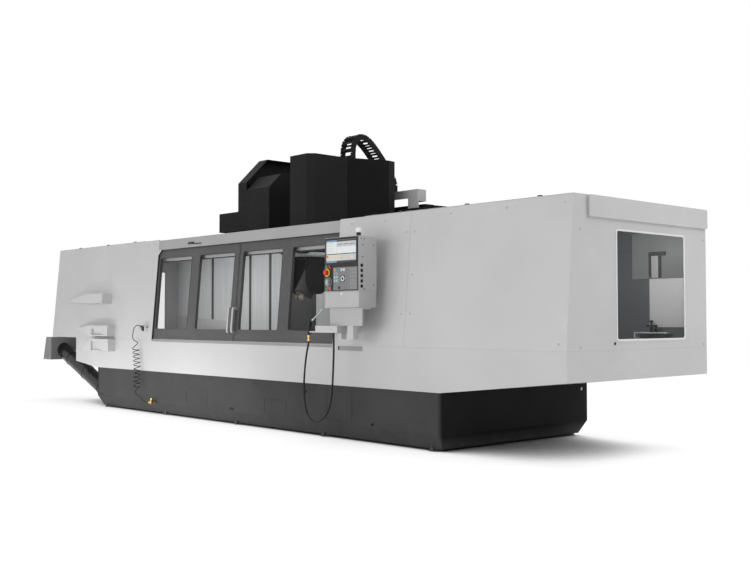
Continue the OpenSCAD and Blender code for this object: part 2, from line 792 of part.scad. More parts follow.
// right-hand door frame, its meeting edge on the middle of the machine
module door_frame() {
  gap = 1;
  wins = [meet_stile, meet_stile + win_w + mid_stile];
  color(dark) on_front() difference() {
    slab([gap, door_set, door_low], [door_half + door_lap, door_set + door_t, door_high]);
    for (x = wins) translate([x, door_set + door_t + 1, win_z]) rotate([90, 0, 0])
      linear_extrude(door_t + 2) round_rect(win_w, win_h, win_r);
  }
}

module door_glass() {
  wins = [meet_stile, meet_stile + win_w + mid_stile];
  back = door_set + door_t;
  color([0.5, 0.55, 0.56, 0.4]) on_front() for (x = wins)
    slab([x - glass_lap, back, win_z - glass_lap],
      [x + win_w + glass_lap, back + glass_t, win_z + win_h + glass_lap]);
}

module door_handle() {
  r = handle_out / 2;
  bar = 16;
  color(steel) on_front() translate([handle_x - handle_w / 2, door_set - handle_out, 100])
    rotate([90, 0, 90]) linear_extrude(handle_w) difference() {
      union() {
        translate([r, 0]) square([handle_out - r, handle_l]);
        translate([0, r]) square([handle_out, handle_l - 2 * r]);
        for (z = [r, handle_l - r]) translate([r, z]) circle(r = r, $fn = 48);
      }
      translate([bar, 2 * bar]) square([handle_out, handle_l - 4 * bar]);
    }
}

module right_door_frame() {
  door_frame();
}

module right_door_glass() {
  door_glass();
}

module right_door_handle() {
  door_handle();
}

module left_door_frame() {
  mirror([1, 0, 0]) door_frame();
}

module left_door_glass() {
  mirror([1, 0, 0]) door_glass();
}

module left_door_handle() {
  mirror([1, 0, 0]) door_handle();
}

// a bearing block open below around a rail that stands up under it
module truck(x, y, l, w, low, high) {
  difference() {
    slab([x - l / 2, y - w / 2, low], [x + l / 2, y + w / 2, high]);
    slab([x - l, y - rail_w / 2 - clear, low - 1], [x + l, y + rail_w / 2 + clear, low + 20]);
  }
}

module saddle() {
  low = base_top + rail_h + clear - 20;
  bottom = base_top + 67;
  color(dark) {
    slab([-saddle_l / 2, -saddle_w / 2, bottom], [saddle_l / 2, saddle_w / 2, bottom + saddle_t]);
    for (x = rail_x, y = [-310, 310]) translate([x, y, 0]) rotate([0, 0, 90])
      truck(0, 0, truck_l, 130, low, bottom + 1);
    difference() {
      slab([-60, -70, y_screw_z - 30], [60, 70, bottom + 1]);
      rod_y(-71, 71, 0, y_screw_z, screw_r + clear);
    }
    for (s = [-1, 1]) difference() {
      slab([s * (saddle_l / 2 - 40) - 40, -60, bottom + saddle_t - 1],
        [s * (saddle_l / 2 - 40) + 40, 60, table_z - 6]);
      rod_x(-saddle_l, saddle_l, 0, x_screw_z, screw_r * 0.6 + clear);
    }
  }
}

module x_rails() {
  top = base_top + 67 + saddle_t;
  color(steel) for (y = [-rail_y, rail_y])
    slab([-saddle_l / 2, y - rail_w / 2, top], [saddle_l / 2, y + rail_w / 2, top + rail_h]);
}

module x_motor() {
  color(black) difference() {
    slab([saddle_l / 2, -65, x_screw_z - 65], [saddle_l / 2 + 210, 65, x_screw_z + 65]);
    rod_x(saddle_l / 2 - 1, saddle_l / 2 + 30, 0, x_screw_z, screw_r * 0.6 + clear);
  }
}

module table() {
  low = base_top + 67 + saddle_t + rail_h + clear - 20;
  color(steel) {
    difference() {
      slab([-table_l / 2, -table_w / 2, table_z], [table_l / 2, table_w / 2, table_top]);
      for (k = [-2:2]) {
        slab([-table_l, k * slot_gap - slot_w / 2, table_top - 40],
          [table_l, k * slot_gap + slot_w / 2, table_top + 1]);
        slab([-table_l, k * slot_gap - slot_w * 0.9, table_top - 40],
          [table_l, k * slot_gap + slot_w * 0.9, table_top - 22]);
      }
    }
    for (x = [-truck_x, truck_x], y = [-rail_y, rail_y]) truck(x, y, truck_l, 130, low, table_z + 1);
    difference() {
      slab([-70, -60, x_screw_z - 30], [70, 60, table_z + 1]);
      rod_x(-71, 71, 0, x_screw_z, screw_r + clear);
    }
  }
}

module x_ballscrew() {
  l = saddle_l / 2 - 82;
  color(steel) {
    rod_x(-l, l, 0, x_screw_z, screw_r);
    rod_x(-l - 70, -l + 1, 0, x_screw_z, screw_r * 0.6);
    rod_x(l - 1, l + 105, 0, x_screw_z, screw_r * 0.6);
  }
}

module y_ballscrew() {
  color(steel) {
    rod_y(y_bearing + 2, y_drive - 2, 0, y_screw_z, screw_r);
    rod_y(y_bearing - 20, y_bearing + 3, 0, y_screw_z, screw_r * 0.6);
    rod_y(y_drive - 3, y_drive + 30, 0, y_screw_z, screw_r * 0.6);
  }
}

module z_ballscrew() {
  color(steel) {
    rod_z(1694, col_top - 4, 0, z_screw_y, screw_r);
    rod_z(1674, 1695, 0, z_screw_y, screw_r * 0.6);
    rod_z(col_top - 5, col_top + 28, 0, z_screw_y, screw_r * 0.6);
  }
}

// plan of the head cover, drawn in by a wall
function cover_plan(w) = let (y = front) [[-171 + w * 0.6, y + 978 + w], [171 - w * 0.6, y + 978 + w],
  [250 - w, y + 1060 + w * 0.4], [250 - w, y + 1592], [435 - w, y + 2161], [408 - w, y + 2290 - w],
  [w - 408, y + 2290 - w], [w - 435, y + 2161], [w - 250, y + 1592], [w - 250, y + 1060 + w * 0.4]];

module head_casting() {
  color(black) difference() {
    union() {
      slab([-230, front + 880, ram_z], [230, carriage_y - 60, cover_z - 30]);
      translate([0, 0, cover_z - 30]) linear_extrude(30) polygon(cover_plan(0));
      slab([-180, front + 1100, cover_z - 1], [180, front + 2270, cover_z + 700]);
      slab([-440, carriage_y - 70, 1700], [440, carriage_y, 2420]);
      for (s = [-1, 1], z = [1720, 2220]) difference() {
        slab([s * z_rail_x - 60, carriage_y - 1, z], [s * z_rail_x + 60, col_y - 10, z + 130]);
        slab([s * z_rail_x - rail_w / 2 - clear, col_y - rail_h - clear, z - 1],
          [s * z_rail_x + rail_w / 2 + clear, col_y, z + 131]);
      }
      slab([-60, carriage_y - 1, 2200], [60, col_y - 4, 2300]);
    }
    rod_z(2199, 2301, 0, z_screw_y, screw_r + clear);
    rod_z(ram_z - 1, ram_z + 110, 0, 0, 80 + clear);
  }
}

module head_cover() {
  color(black) difference() {
    translate([0, 0, cover_z]) linear_extrude(cover_h) polygon(cover_plan(0));
    translate([0, 0, cover_z - 1]) linear_extrude(cover_h - 4) polygon(cover_plan(5));
  }
}

module spindle_fork() {
  top = ram_z - fork_gap;
  out = arm_in + arm_t;
  color(black) difference() {
    union() {
      rod_z(top - 60, top, 0, 0, fork_r);
      rod_z(top - 1, ram_z + 100, 0, 0, 80);
      for (s = [-1, 1]) slab([min(s * arm_in, s * out), -arm_d / 2, arm_low + 130],
        [max(s * arm_in, s * out), arm_d / 2, top - 59]);
      for (s = [-1, 1]) rod_x(min(s * arm_in, s * out), max(s * arm_in, s * out), 0, tilt_z, 130);
      for (s = [-1, 1]) rod_x(min(s * out, s * (out + 14)), max(s * out, s * (out + 14)), 0, tilt_z, 90);
    }
    rod_x(-out - 1, out + 1, 0, tilt_z, 45 + clear);
  }
}

module spindle_cartridge() {
  out = arm_in + arm_t;
  color(steel) on_spindle() difference() {
    union() {
      translate([0, 0, -150]) cylinder(r = cart_r, h = 300, $fn = 64);
      translate([0, 0, -185]) cylinder(r = 92, h = 36, $fn = 64);
      rod_x(-arm_in + 2, arm_in - 2, 0, 0, 70);
      rod_x(-out, out, 0, 0, 45);
    }
    translate([0, 0, -186]) cylinder(r = 62 + clear, h = 90, $fn = 64);
  }
}

module spindle_nose() {
  color(steel) on_spindle() difference() {
    union() {
      translate([0, 0, -180]) cylinder(r = 62, h = 80, $fn = 64);
      translate([0, 0, -212]) cylinder(r = 50, h = 33, $fn = 64);
      for (s = [-1, 1]) slab([s * 36 - 8, -9, -222], [s * 36 + 8, 9, -211]);
    }
    translate([0, 0, -213]) cylinder(r1 = 23, r2 = 12, h = 70, $fn = 48);
  }
}

module coolant_nozzles() {
  color(brass) on_spindle() for (a = [35, 145, 215, 325]) rotate([0, 0, a]) translate([78, 0, -185.2]) {
    translate([0, 0, -20]) cylinder(r = 10, h = 20, $fn = 24);
    translate([0, 0, -44]) cylinder(r = 5, h = 25, $fn = 24);
  }
}

module pendant_housing() {
  x1 = pend_x + pend_w;
  y1 = pend_y + pend_d;
  color(light) difference() {
    union() {
      along_x(pend_x, x1, [[pend_y, face_z], [pend_y, face_z + pend_h], [y1 - 40, face_z + pend_h],
        [y1, face_z + pend_h - 40], [y1, face_z]]);
      along_x(pend_x + 4, x1 - 4, [[pend_y + 14, face_z + 1], [y1 - 10, face_z + 1], [y1 - 10, pend_z + 40],
        [y1 - 50, pend_z], [pend_y + 30, pend_z]]);
    }
    slab([screen_x, pend_y - 1, screen_z], [screen_x + screen_w, pend_y + 12, screen_z + screen_h]);
    rod_z(pend_z - 1, pend_z + 47, pend_cx, pend_cy, 30 + clear);
    for (z = [0:4]) slab([x1 - 12, pend_y + 26, face_z + 30 + z * 52],
      [x1 + 1, pend_y + 60, face_z + 62 + z * 52]);
    for (p = [[37, 27], [37, 193], [83, 27], [83, 253], [37, 253], [60, 93]])
      rod_y(pend_y - 1, pend_y + 40, pend_x + p[0], face_z + p[1], 8 + clear);
  }
}

module pendant_screen() {
  color([0.1, 0.1, 0.12]) slab([screen_x + clear, pend_y + 4, screen_z + clear],
    [screen_x + screen_w - clear, pend_y + 12, screen_z + screen_h - clear]);
}

module pendant_keypad() {
  color([0.5, 0.5, 0.5]) difference() {
    slab([pend_x + 140, pend_y - 4, face_z + 15], [pend_x + pend_w - 16, pend_y, face_z + 240]);
    for (x = [0:9], z = [0:5]) slab([pend_x + 147 + x * 36, pend_y - 5, face_z + 22 + z * 36],
      [pend_x + 176 + x * 36, pend_y - 3, face_z + 51 + z * 36]);
  }
}

// a push button with its stem in the face, at a place on the pendant face
module button(x, z, r, cap, tint) {
  color(tint) {
    rod_y(pend_y - cap - press, pend_y - press - clear, pend_x + x, face_z + z, r);
    rod_y(pend_y - press - 1, pend_y + 30, pend_x + x, face_z + z, 8);
  }
}

module emergency_stop() {
  button(37, 193, stop_r, 22, [0.8, 0.05, 0.05]);
}

module jog_wheel() {
  color([0.45, 0.45, 0.46]) {
    rod_y(pend_y - 20, pend_y - clear, pend_x + 60, face_z + 93, jog_r);
    rod_y(pend_y - 1, pend_y + 30, pend_x + 60, face_z + 93, 8);
    rod_y(pend_y - 36, pend_y - 19, pend_x + 60 + jog_r * 0.6, face_z + 93, 9);
  }
}

module power_on_button() {
  button(37, 253, button_r, 8, [0.1, 0.6, 0.2]);
}

module power_off_button() {
  button(83, 253, button_r, 8, [0.8, 0.1, 0.1]);
}

module cycle_start_button() {
  button(37, 27, button_r, 8, [0.1, 0.6, 0.2]);
}

module feed_hold_button() {
  button(83, 27, button_r, 8, [0.8, 0.1, 0.1]);
}

module beacon() {
  z = face_z + pend_h;
  color([0.9, 0.9, 0.88]) {
    rod_z(z, z + 34, pend_x + 390, pend_cy, 44);
    rod_z(z + 33, z + 110, pend_x + 390, pend_cy, 38);
  }
}

base();
leveling_feet();
chip_pan();
left_front_panel();
right_front_panel();
right_wing_panel();
door_header();
left_end_panel();
right_end_panel();
end_windows();
rear_wall();
roof_panels();
wall_fairings();
column();
guide_rails();
drive_motors();
tool_changer_cover();
carrier_post();
discharge_tube();
discharge_head();
pendant_bracket();
work_tray();
wash_gun();
wash_hose();
air_gun();
coil_hose();
hose_fittings();
control_cabinet();
left_door_frame();
left_door_glass();
left_door_handle();
right_door_frame();
right_door_glass();
right_door_handle();
saddle();
x_rails();
x_motor();
table();
x_ballscrew();
y_ballscrew();
z_ballscrew();
head_casting();
head_cover();
cable_carrier();
spindle_fork();
spindle_cartridge();
coolant_nozzles();
spindle_nose();
tool_carousel();
chip_auger();
pendant_housing();
pendant_screen();
pendant_keypad();
emergency_stop();
jog_wheel();
power_on_button();
power_off_button();
cycle_start_button();
feed_hold_button();
beacon();
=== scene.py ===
"""Looks of the long-bed machining center: paint, glass, steel, pendant, hoses and small fittings, in metres."""
import math

import bpy
from mathutils import Matrix, Vector


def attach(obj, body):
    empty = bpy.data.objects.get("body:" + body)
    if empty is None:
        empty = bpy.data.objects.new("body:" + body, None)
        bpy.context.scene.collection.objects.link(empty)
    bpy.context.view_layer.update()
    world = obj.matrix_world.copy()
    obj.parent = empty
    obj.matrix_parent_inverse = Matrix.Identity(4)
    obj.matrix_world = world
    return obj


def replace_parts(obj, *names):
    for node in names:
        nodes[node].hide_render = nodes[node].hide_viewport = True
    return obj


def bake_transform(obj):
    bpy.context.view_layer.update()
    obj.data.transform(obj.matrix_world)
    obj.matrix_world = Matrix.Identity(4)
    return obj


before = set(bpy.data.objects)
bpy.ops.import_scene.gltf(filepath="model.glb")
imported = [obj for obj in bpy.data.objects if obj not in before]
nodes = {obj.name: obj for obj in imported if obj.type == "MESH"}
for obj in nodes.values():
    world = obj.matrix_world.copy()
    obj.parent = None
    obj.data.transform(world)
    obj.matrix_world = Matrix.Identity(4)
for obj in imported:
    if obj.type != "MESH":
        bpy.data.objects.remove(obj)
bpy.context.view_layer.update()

# main places of the machine: base, leaning front, ends, rear wall, roof, pendant face and column
BASE_FRONT = -1.145
FOLD = Vector((0, -1.175, 1.0))
LEAN = math.radians(4.8268)
HALF = 4.99
REAR = 1.075
REAR_SKIN = 1.0712
LINER_LOW, LINER_TOP = 1.02, 2.34
OPENING = 1.905
TOP = 2.35
FACE_Y = -1.494
FACE_X = 2.175
FACE_Z = 1.555
COLUMN_REAR = 2.155
FRONT = Matrix.Translation(FOLD) @ Matrix.Rotation(-LEAN, 4, "X")

# most of a noise lies between these two values
GRAIN_LOW, GRAIN_HIGH = 0.3, 0.7


# finishes

def finish(name, **sockets):
    """A material with its shader, and the constants that are the same all over set on the shader."""
    made = bpy.data.materials.new(name)
    made.use_nodes = True
    shader = made.node_tree.nodes["Principled BSDF"]
    for socket, value in sockets.items():
        shader.inputs[socket.replace("_", " ")].default_value = value
    return made, made.node_tree, shader


def noise(tree, scale, detail=3.0, stretch=(1, 1, 1)):
    """Noise on the piece's own coordinates, stretched along its axes."""
    place = tree.nodes.new("ShaderNodeTexCoord")
    turn = tree.nodes.new("ShaderNodeMapping")
    turn.inputs["Scale"].default_value = stretch
    grain = tree.nodes.new("ShaderNodeTexNoise")
    grain.inputs["Scale"].default_value = scale
    grain.inputs["Detail"].default_value = detail
    tree.links.new(place.outputs["Object"], turn.inputs["Vector"])
    tree.links.new(turn.outputs["Vector"], grain.inputs["Vector"])
    return grain.outputs["Fac"]


def ramp(tree, value, deep, pale, top=GRAIN_HIGH):
    """Colours along a noise value, from a deep tone to a pale one."""
    made = tree.nodes.new("ShaderNodeValToRGB")
    for element, place, colour in zip(made.color_ramp.elements, (GRAIN_LOW, top), (deep, pale)):
        element.position = place
        element.color = (*colour, 1)
    tree.links.new(value, made.inputs["Fac"])
    return made.outputs["Color"]


def remap(tree, value, start, end, low, high, kind="LINEAR"):
    """A value that runs from start to end, brought between two limits."""
    made = tree.nodes.new("ShaderNodeMapRange")
    made.interpolation_type = kind
    for socket, limit in (("From Min", start), ("From Max", end), ("To Min", low), ("To Max", high)):
        made.inputs[socket].default_value = limit
    tree.links.new(value, made.inputs["Value"])
    return made.outputs["Result"]


def spread(tree, value, low, high):
    """A noise value spread between two limits."""
    return remap(tree, value, GRAIN_LOW, GRAIN_HIGH, low, high)


def relief(tree, shader, height, strength, distance):
    """A fine relief in the shader's normal, from a height."""
    bump = tree.nodes.new("ShaderNodeBump")
    bump.inputs["Strength"].default_value = strength
    bump.inputs["Distance"].default_value = distance
    tree.links.new(height, bump.inputs["Height"])
    tree.links.new(bump.outputs["Normal"], shader.inputs["Normal"])


def coat(name, deep, pale, rough, grain=260.0, lift=0.0004, cloud=1.3, **sockets):
    """Powder coat: a slow drift of tone, uneven gloss and a fine orange-peel relief."""
    made, tree, shader = finish(name, **sockets)
    drift = noise(tree, cloud, 6.0)
    tree.links.new(ramp(tree, drift, deep, pale), shader.inputs["Base Color"])
    tree.links.new(spread(tree, noise(tree, cloud * 9), rough - 0.06, rough + 0.06), shader.inputs["Roughness"])
    relief(tree, shader, noise(tree, grain), 0.25, lift)
    return made


def brushed(name, deep, pale, rough, stretch, scale=14.0, **sockets):
    """Brushed or ground metal with fine lines along one axis."""
    made, tree, shader = finish(name, **{"Metallic": 1.0, **sockets})
    lines = noise(tree, scale, 8.0, stretch)
    tree.links.new(ramp(tree, lines, deep, pale), shader.inputs["Base Color"])
    tree.links.new(spread(tree, lines, rough - 0.08, rough + 0.1), shader.inputs["Roughness"])
    relief(tree, shader, lines, 0.12, 0.0004)
    return made


def base_coat(name, deep, pale, dusty):
    """Dark floor-level paint that greys with dust towards the floor, with painted shade darkening the ends of the
    base.
    """
    dust_top, dust_foot, dust_share = 0.22, 0.02, 0.5
    end_shade_start, end_shade_full, end_shade_share = 3.44, 3.495, 0.72
    made, tree, shader = finish(name, Specular_IOR_Level=0.02)
    link = tree.links.new
    drift = noise(tree, 2.2, 8.0)
    place = tree.nodes.new("ShaderNodeTexCoord")
    split = tree.nodes.new("ShaderNodeSeparateXYZ")
    link(place.outputs["Object"], split.inputs["Vector"])
    blend = tree.nodes.new("ShaderNodeMixRGB")
    link(remap(tree, split.outputs["Z"], dust_top, dust_foot, 0, dust_share), blend.inputs["Fac"])
    link(ramp(tree, drift, deep, pale), blend.inputs["Color1"])
    link(ramp(tree, noise(tree, 11.0), deep, dusty, 0.8), blend.inputs["Color2"])
    # painted shade: towards both ends of the base the colour is pulled towards black, standing in for the shade those
    # faces sit in
    reach = tree.nodes.new("ShaderNodeMath")
    reach.operation = "ABSOLUTE"
    link(split.outputs["X"], reach.inputs[0])
    tone = tree.nodes.new("ShaderNodeMixRGB")
    tone.inputs["Color2"].default_value = (0, 0, 0, 1)
    link(remap(tree, reach.outputs[0], end_shade_start, end_shade_full, 0, end_shade_share), tone.inputs["Fac"])
    link(blend.outputs["Color"], tone.inputs["Color1"])
    link(tone.outputs["Color"], shader.inputs["Base Color"])
    link(spread(tree, drift, 0.34, 0.5), shader.inputs["Roughness"])
    relief(tree, shader, noise(tree, 240.0), 0.3, 0.0005)
    return made


def window(name, tint, share):
    """Clear laminated window: a faint tint with a drift of smears in its gloss."""
    made, tree, shader = finish(name, Alpha=share, IOR=1.5, Specular_IOR_Level=0.3)
    smear = noise(tree, 3.0, 6.0, (1, 1, 3))
    tree.links.new(ramp(tree, smear, tint, [c * 1.12 for c in tint]), shader.inputs["Base Color"])
    tree.links.new(spread(tree, smear, 0.02, 0.07), shader.inputs["Roughness"])
    return made


def glow(name, deep, pale, strength):
    """A lit patch of the screen."""
    return coat(name, deep, pale, 0.3, cloud=40.0, Emission_Color=(*pale, 1), Emission_Strength=strength)


PENDANT = coat("pendant_paint", (0.41, 0.41, 0.415), (0.45, 0.45, 0.455), 0.46, lift=0.0002)
COVER = coat("white_cover_paint", (0.68, 0.68, 0.685), (0.75, 0.75, 0.755), 0.46)
# painted shade: a darker copy of the light grey paint, for the shade on the door header above the doors
HEADER_SHADE_GREY = coat("door_header_shade_paint", (0.32, 0.32, 0.325), (0.36, 0.36, 0.365), 0.46, lift=0.0002)
TRACK = coat("door_track_paint", (0.24, 0.242, 0.245), (0.29, 0.292, 0.295), 0.46)
LIGHT = coat("light_grey_paint", (0.495, 0.495, 0.50), (0.535, 0.535, 0.54), 0.46, lift=0.0002)
HEADER = coat("door_frame_paint", (0.070, 0.070, 0.071), (0.086, 0.086, 0.087), 0.5, Specular_IOR_Level=0.25)
BLACK = coat("black_cover_paint", (0.017, 0.017, 0.0174), (0.022, 0.022, 0.0225), 0.56, grain=420.0, lift=0.0002,
             Specular_IOR_Level=0.05)
# a darker copy of the black cover paint: deep black for the spindle fork, and painted shade on the head's sides
DEEP_BLACK_SIDE_SHADE = coat("deep_black_side_shade_paint", (0.008, 0.008, 0.0083), (0.011, 0.011, 0.0114), 0.56, grain=420.0, lift=0.0002,
                  Specular_IOR_Level=0.05)
GLOSS_BLACK = coat("black_tube_paint", (0.006, 0.006, 0.0062), (0.009, 0.009, 0.0093), 0.2, grain=300.0, lift=0.0001,
                   Specular_IOR_Level=0.35)
BASE = base_coat("base_paint", (0.056, 0.0565, 0.057), (0.072, 0.0725, 0.073), (0.105, 0.104, 0.102))
CASTING = coat("casting_paint", (0.10, 0.104, 0.108), (0.14, 0.144, 0.148), 0.5, grain=90.0, lift=0.0012)
SPOUT = coat("discharge_head_paint", (0.17, 0.172, 0.175), (0.21, 0.212, 0.215), 0.5)
STAINLESS = brushed("stainless_wall", (0.56, 0.57, 0.575), (0.70, 0.71, 0.715), 0.5, (2, 2, 0.06), Metallic=0.15)
GROUND = brushed("ground_steel", (0.42, 0.43, 0.44), (0.60, 0.61, 0.62), 0.32, (0.1, 6, 6), 40.0)
TABLE_STEEL = brushed("table_iron", (0.26, 0.265, 0.27), (0.36, 0.365, 0.37), 0.4, (1, 8, 1), 30.0)
SATIN = brushed("handle_steel", (0.42, 0.42, 0.43), (0.54, 0.54, 0.55), 0.4, (8, 8, 0.6), 60.0)
ZINC = coat("zinc_plate", (0.38, 0.39, 0.39), (0.52, 0.53, 0.53), 0.36, cloud=20.0, Metallic=0.9)
BRASS = coat("turned_brass", (0.48, 0.33, 0.12), (0.62, 0.45, 0.18), 0.28, cloud=30.0, Metallic=1.0)
RUBBER = coat("hose_rubber", (0.009, 0.009, 0.009), (0.015, 0.015, 0.015), 0.55, cloud=14.0, Specular_IOR_Level=0.2)
TRIM = coat("window_trim_rubber", (0.010, 0.010, 0.010), (0.017, 0.017, 0.017), 0.6, cloud=8.0)
BLACK_PLASTIC = coat("black_plastic", (0.012, 0.012, 0.012), (0.02, 0.02, 0.02), 0.4, cloud=18.0,
                     Specular_IOR_Level=0.25)
GREY_PLASTIC = coat("grey_plastic", (0.17, 0.17, 0.175), (0.22, 0.22, 0.225), 0.45, cloud=18.0)
PALE_KEY = coat("pale_key", (0.22, 0.225, 0.23), (0.28, 0.285, 0.29), 0.5, cloud=30.0)
CYAN_KEY = coat("light_blue_key", (0.30, 0.46, 0.48), (0.37, 0.53, 0.55), 0.5, cloud=30.0)
MAUVE_KEY = coat("grey_blue_key", (0.26, 0.28, 0.34), (0.32, 0.34, 0.40), 0.5, cloud=30.0)
WHITE_KEY = coat("white_key", (0.56, 0.57, 0.57), (0.64, 0.65, 0.65), 0.5, cloud=30.0)
ORANGE_KEY = coat("orange_key", (0.62, 0.22, 0.03), (0.72, 0.28, 0.05), 0.5, cloud=30.0)
TEAL_KEY = coat("teal_key", (0.03, 0.24, 0.25), (0.05, 0.30, 0.31), 0.5, cloud=30.0)
RED = coat("red_plastic", (0.55, 0.012, 0.012), (0.66, 0.02, 0.02), 0.3, cloud=30.0)
GREEN = coat("green_plastic", (0.02, 0.30, 0.05), (0.03, 0.40, 0.08), 0.3, cloud=30.0)
YELLOW = coat("yellow_plastic", (0.75, 0.55, 0.02), (0.85, 0.63, 0.04), 0.35, cloud=30.0)
LENS = coat("beacon_lens", (0.78, 0.78, 0.77), (0.86, 0.86, 0.85), 0.25, cloud=24.0)
SCREEN = coat("screen_glass", (0.012, 0.012, 0.014), (0.018, 0.018, 0.02), 0.12, cloud=6.0)
SCREEN_WHITE = glow("screen_white", (0.60, 0.62, 0.63), (0.66, 0.68, 0.69), 0.16)
SCREEN_GREY = glow("screen_grey", (0.44, 0.45, 0.46), (0.50, 0.51, 0.52), 0.14)
SCREEN_CREAM = glow("screen_cream", (0.52, 0.50, 0.43), (0.58, 0.56, 0.48), 0.14)
SCREEN_BLUE = glow("screen_blue", (0.13, 0.27, 0.44), (0.18, 0.33, 0.52), 0.1)
SCREEN_DARK = coat("screen_dark", (0.03, 0.032, 0.035), (0.05, 0.052, 0.055), 0.3, cloud=40.0)
KEY_GREY = coat("grey_key", (0.16, 0.165, 0.17), (0.21, 0.215, 0.22), 0.5, cloud=30.0)
DOOR_GLASS = window("door_glass_clear", (0.10, 0.104, 0.104), 0.05)
END_GLASS = window("end_glass_clear", (0.10, 0.104, 0.104), 0.08)

PAINTED = {
    LIGHT: ("chip_pan left_front_panel right_front_panel right_wing_panel left_end_panel right_end_panel "
            "roof_panels wall_fairings carrier_post work_tray control_cabinet"),
    PENDANT: "pendant_bracket pendant_housing",
    HEADER_SHADE_GREY: "door_header",
    HEADER: "left_door_frame right_door_frame spindle_cartridge",
    BLACK: "tool_changer_cover head_cover head_casting column drive_motors x_motor cable_carrier",
    DEEP_BLACK_SIDE_SHADE: "spindle_fork",
    GLOSS_BLACK: "discharge_tube",
    BASE: "base",
    CASTING: "saddle leveling_feet",
    SPOUT: "discharge_head",
    STAINLESS: "rear_wall",
    TABLE_STEEL: "table",
    GROUND: "guide_rails x_rails x_ballscrew y_ballscrew z_ballscrew spindle_nose tool_carousel chip_auger",
    SATIN: "left_door_handle right_door_handle",
    BRASS: "coolant_nozzles hose_fittings",
    RUBBER: "wash_hose coil_hose",
    BLACK_PLASTIC: "wash_gun air_gun",
    GREY_PLASTIC: "jog_wheel pendant_keypad",
    RED: "emergency_stop power_off_button feed_hold_button",
    GREEN: "power_on_button cycle_start_button",
    LENS: "beacon",
    SCREEN: "pendant_screen",
    DOOR_GLASS: "left_door_glass right_door_glass",
    END_GLASS: "end_windows",
}
for look, names in PAINTED.items():
    for name in names.split():
        nodes[name].data.materials.clear()
        nodes[name].data.materials.append(look)


# camera

eye = bpy.data.cameras.new("camera")
eye.lens = 48.40
eye.sensor_width = 36
eye.clip_end = 200
camera = bpy.data.objects.new("camera", eye)
camera.location = (10.2103, -8.0418, 1.2790)
camera.rotation_euler = (math.radians(92.1093), 0, math.radians(47.9789))
bpy.context.scene.collection.objects.link(camera)
bpy.context.scene.camera = camera


# hoses

def hose(name, route, radius, node):
    """A round hose on one smooth line through the route's points."""
    line = bpy.data.curves.new(name, "CURVE")
    line.dimensions = "3D"
    line.bevel_depth = radius
    line.bevel_resolution = 4
    line.use_fill_caps = True
    run = line.splines.new("POLY")
    run.points.add(len(route) - 1)
    for point, place in zip(run.points, route):
        point.co = (*place, 1)
    made = bpy.data.objects.new(name, line)
    bpy.context.scene.collection.objects.link(made)
    line.materials.append(RUBBER)
    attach(made, "frame")
    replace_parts(made, node)
    return made


def smooth(route, steps):
    """A Catmull-Rom line through the points, with a number of steps between two of them."""
    ends = [route[0] * 2 - route[1], *route, route[-1] * 2 - route[-2]]
    line = []
    for a, b, c, d in zip(ends, ends[1:], ends[2:], ends[3:]):
        for k in range(steps):
            t = k / steps
            line.append((b * 2 + (c - a) * t + (a * 2 - b * 5 + c * 4 - d) * t * t
                         + (b * 3 - a - c * 3 + d) * t ** 3) / 2)
    return line + [route[-1]]


GUN_X, GUN_Y = 1.884, FACE_Y + 0.02
wash_route = [Vector((x, GUN_Y + y, z)) for x, y, z in (
    (2.258, 0.030, 1.135), (2.258, 0.030, 1.060), (2.258, 0.029, 0.900), (2.252, 0.027, 0.740),
    (2.244, 0.024, 0.580), (2.228, 0.020, 0.450), (2.196, 0.015, 0.350), (2.140, 0.010, 0.272),
    (2.060, 0.006, 0.222), (1.980, 0.003, 0.212), (1.900, 0, 0.248), (1.846, 0, 0.320), (1.816, 0, 0.430),
    (1.806, 0, 0.580), (1.818, 0, 0.740), (1.846, 0, 0.900), (1.872, 0, 0.990), (GUN_X, 0, 1.044))]
wash_line = smooth(wash_route, 4)
wash_hose = hose("wash_hose_run", wash_line, 0.010, "wash_hose")

COIL_Y = BASE_FRONT - 0.100
coil_route = [Vector((x, COIL_Y + y, z)) for x, y, z in (
    (-2.097, 0.014, 1.172), (-2.150, 0.010, 1.186), (-2.220, 0.006, 1.180), (-2.268, 0.002, 1.140),
    (-2.284, 0, 1.080), (-2.268, 0, 1.010), (-2.240, 0, 0.950), (-2.222, 0, 0.920), (-2.204, 0, 0.860),
    (-2.190, 0, 0.780), (-2.178, 0, 0.700), (-2.168, 0, 0.620), (-2.166, 0, 0.540), (-2.174, 0, 0.460),
    (-2.176, 0, 0.400), (-2.160, 0, 0.340), (-2.124, 0, 0.280), (-2.080, 0, 0.230), (-2.030, 0, 0.190),
    (-2.000, 0.008, 0.176), (-1.950, 0.020, 0.160), (-1.902, 0.036, 0.160))]
COIL_R, COIL_TURN, COIL_START, COIL_END = 0.042, 0.056, 0.235, 1.245
LEAD_RATE, LEAD, TIGHTEN, FINE = 29.0, 0.20, 0.06, 8


def eased(value):
    """A value held between 0 and 1, with a smooth start and end."""
    value = min(1, max(0, value))
    return value * value * (3 - 2 * value)


def coiled(line):
    """The line wound into a helix over its middle, opening slowly from straight leads at both ends."""
    wound, gone, turn = [], 0.0, 0.0
    for a, b in zip(line, line[1:]):
        step = (b - a).length
        along = (b - a).normalized()
        side = along.cross(Vector((0, 1, 0))).normalized()
        over = along.cross(side)
        for k in range(FINE):
            here = gone + step * k / FINE
            inside = min(here - COIL_START, COIL_END - here)
            radius = COIL_R * eased(inside / LEAD)
            turn += (LEAD_RATE + (math.tau / COIL_TURN - LEAD_RATE) * eased((inside - LEAD) / TIGHTEN)) * step / FINE
            centre = a + (b - a) * k / FINE
            wound.append(centre + radius * (side * math.cos(turn) + over * math.sin(turn)))
        gone += step
    return wound + [line[-1]]


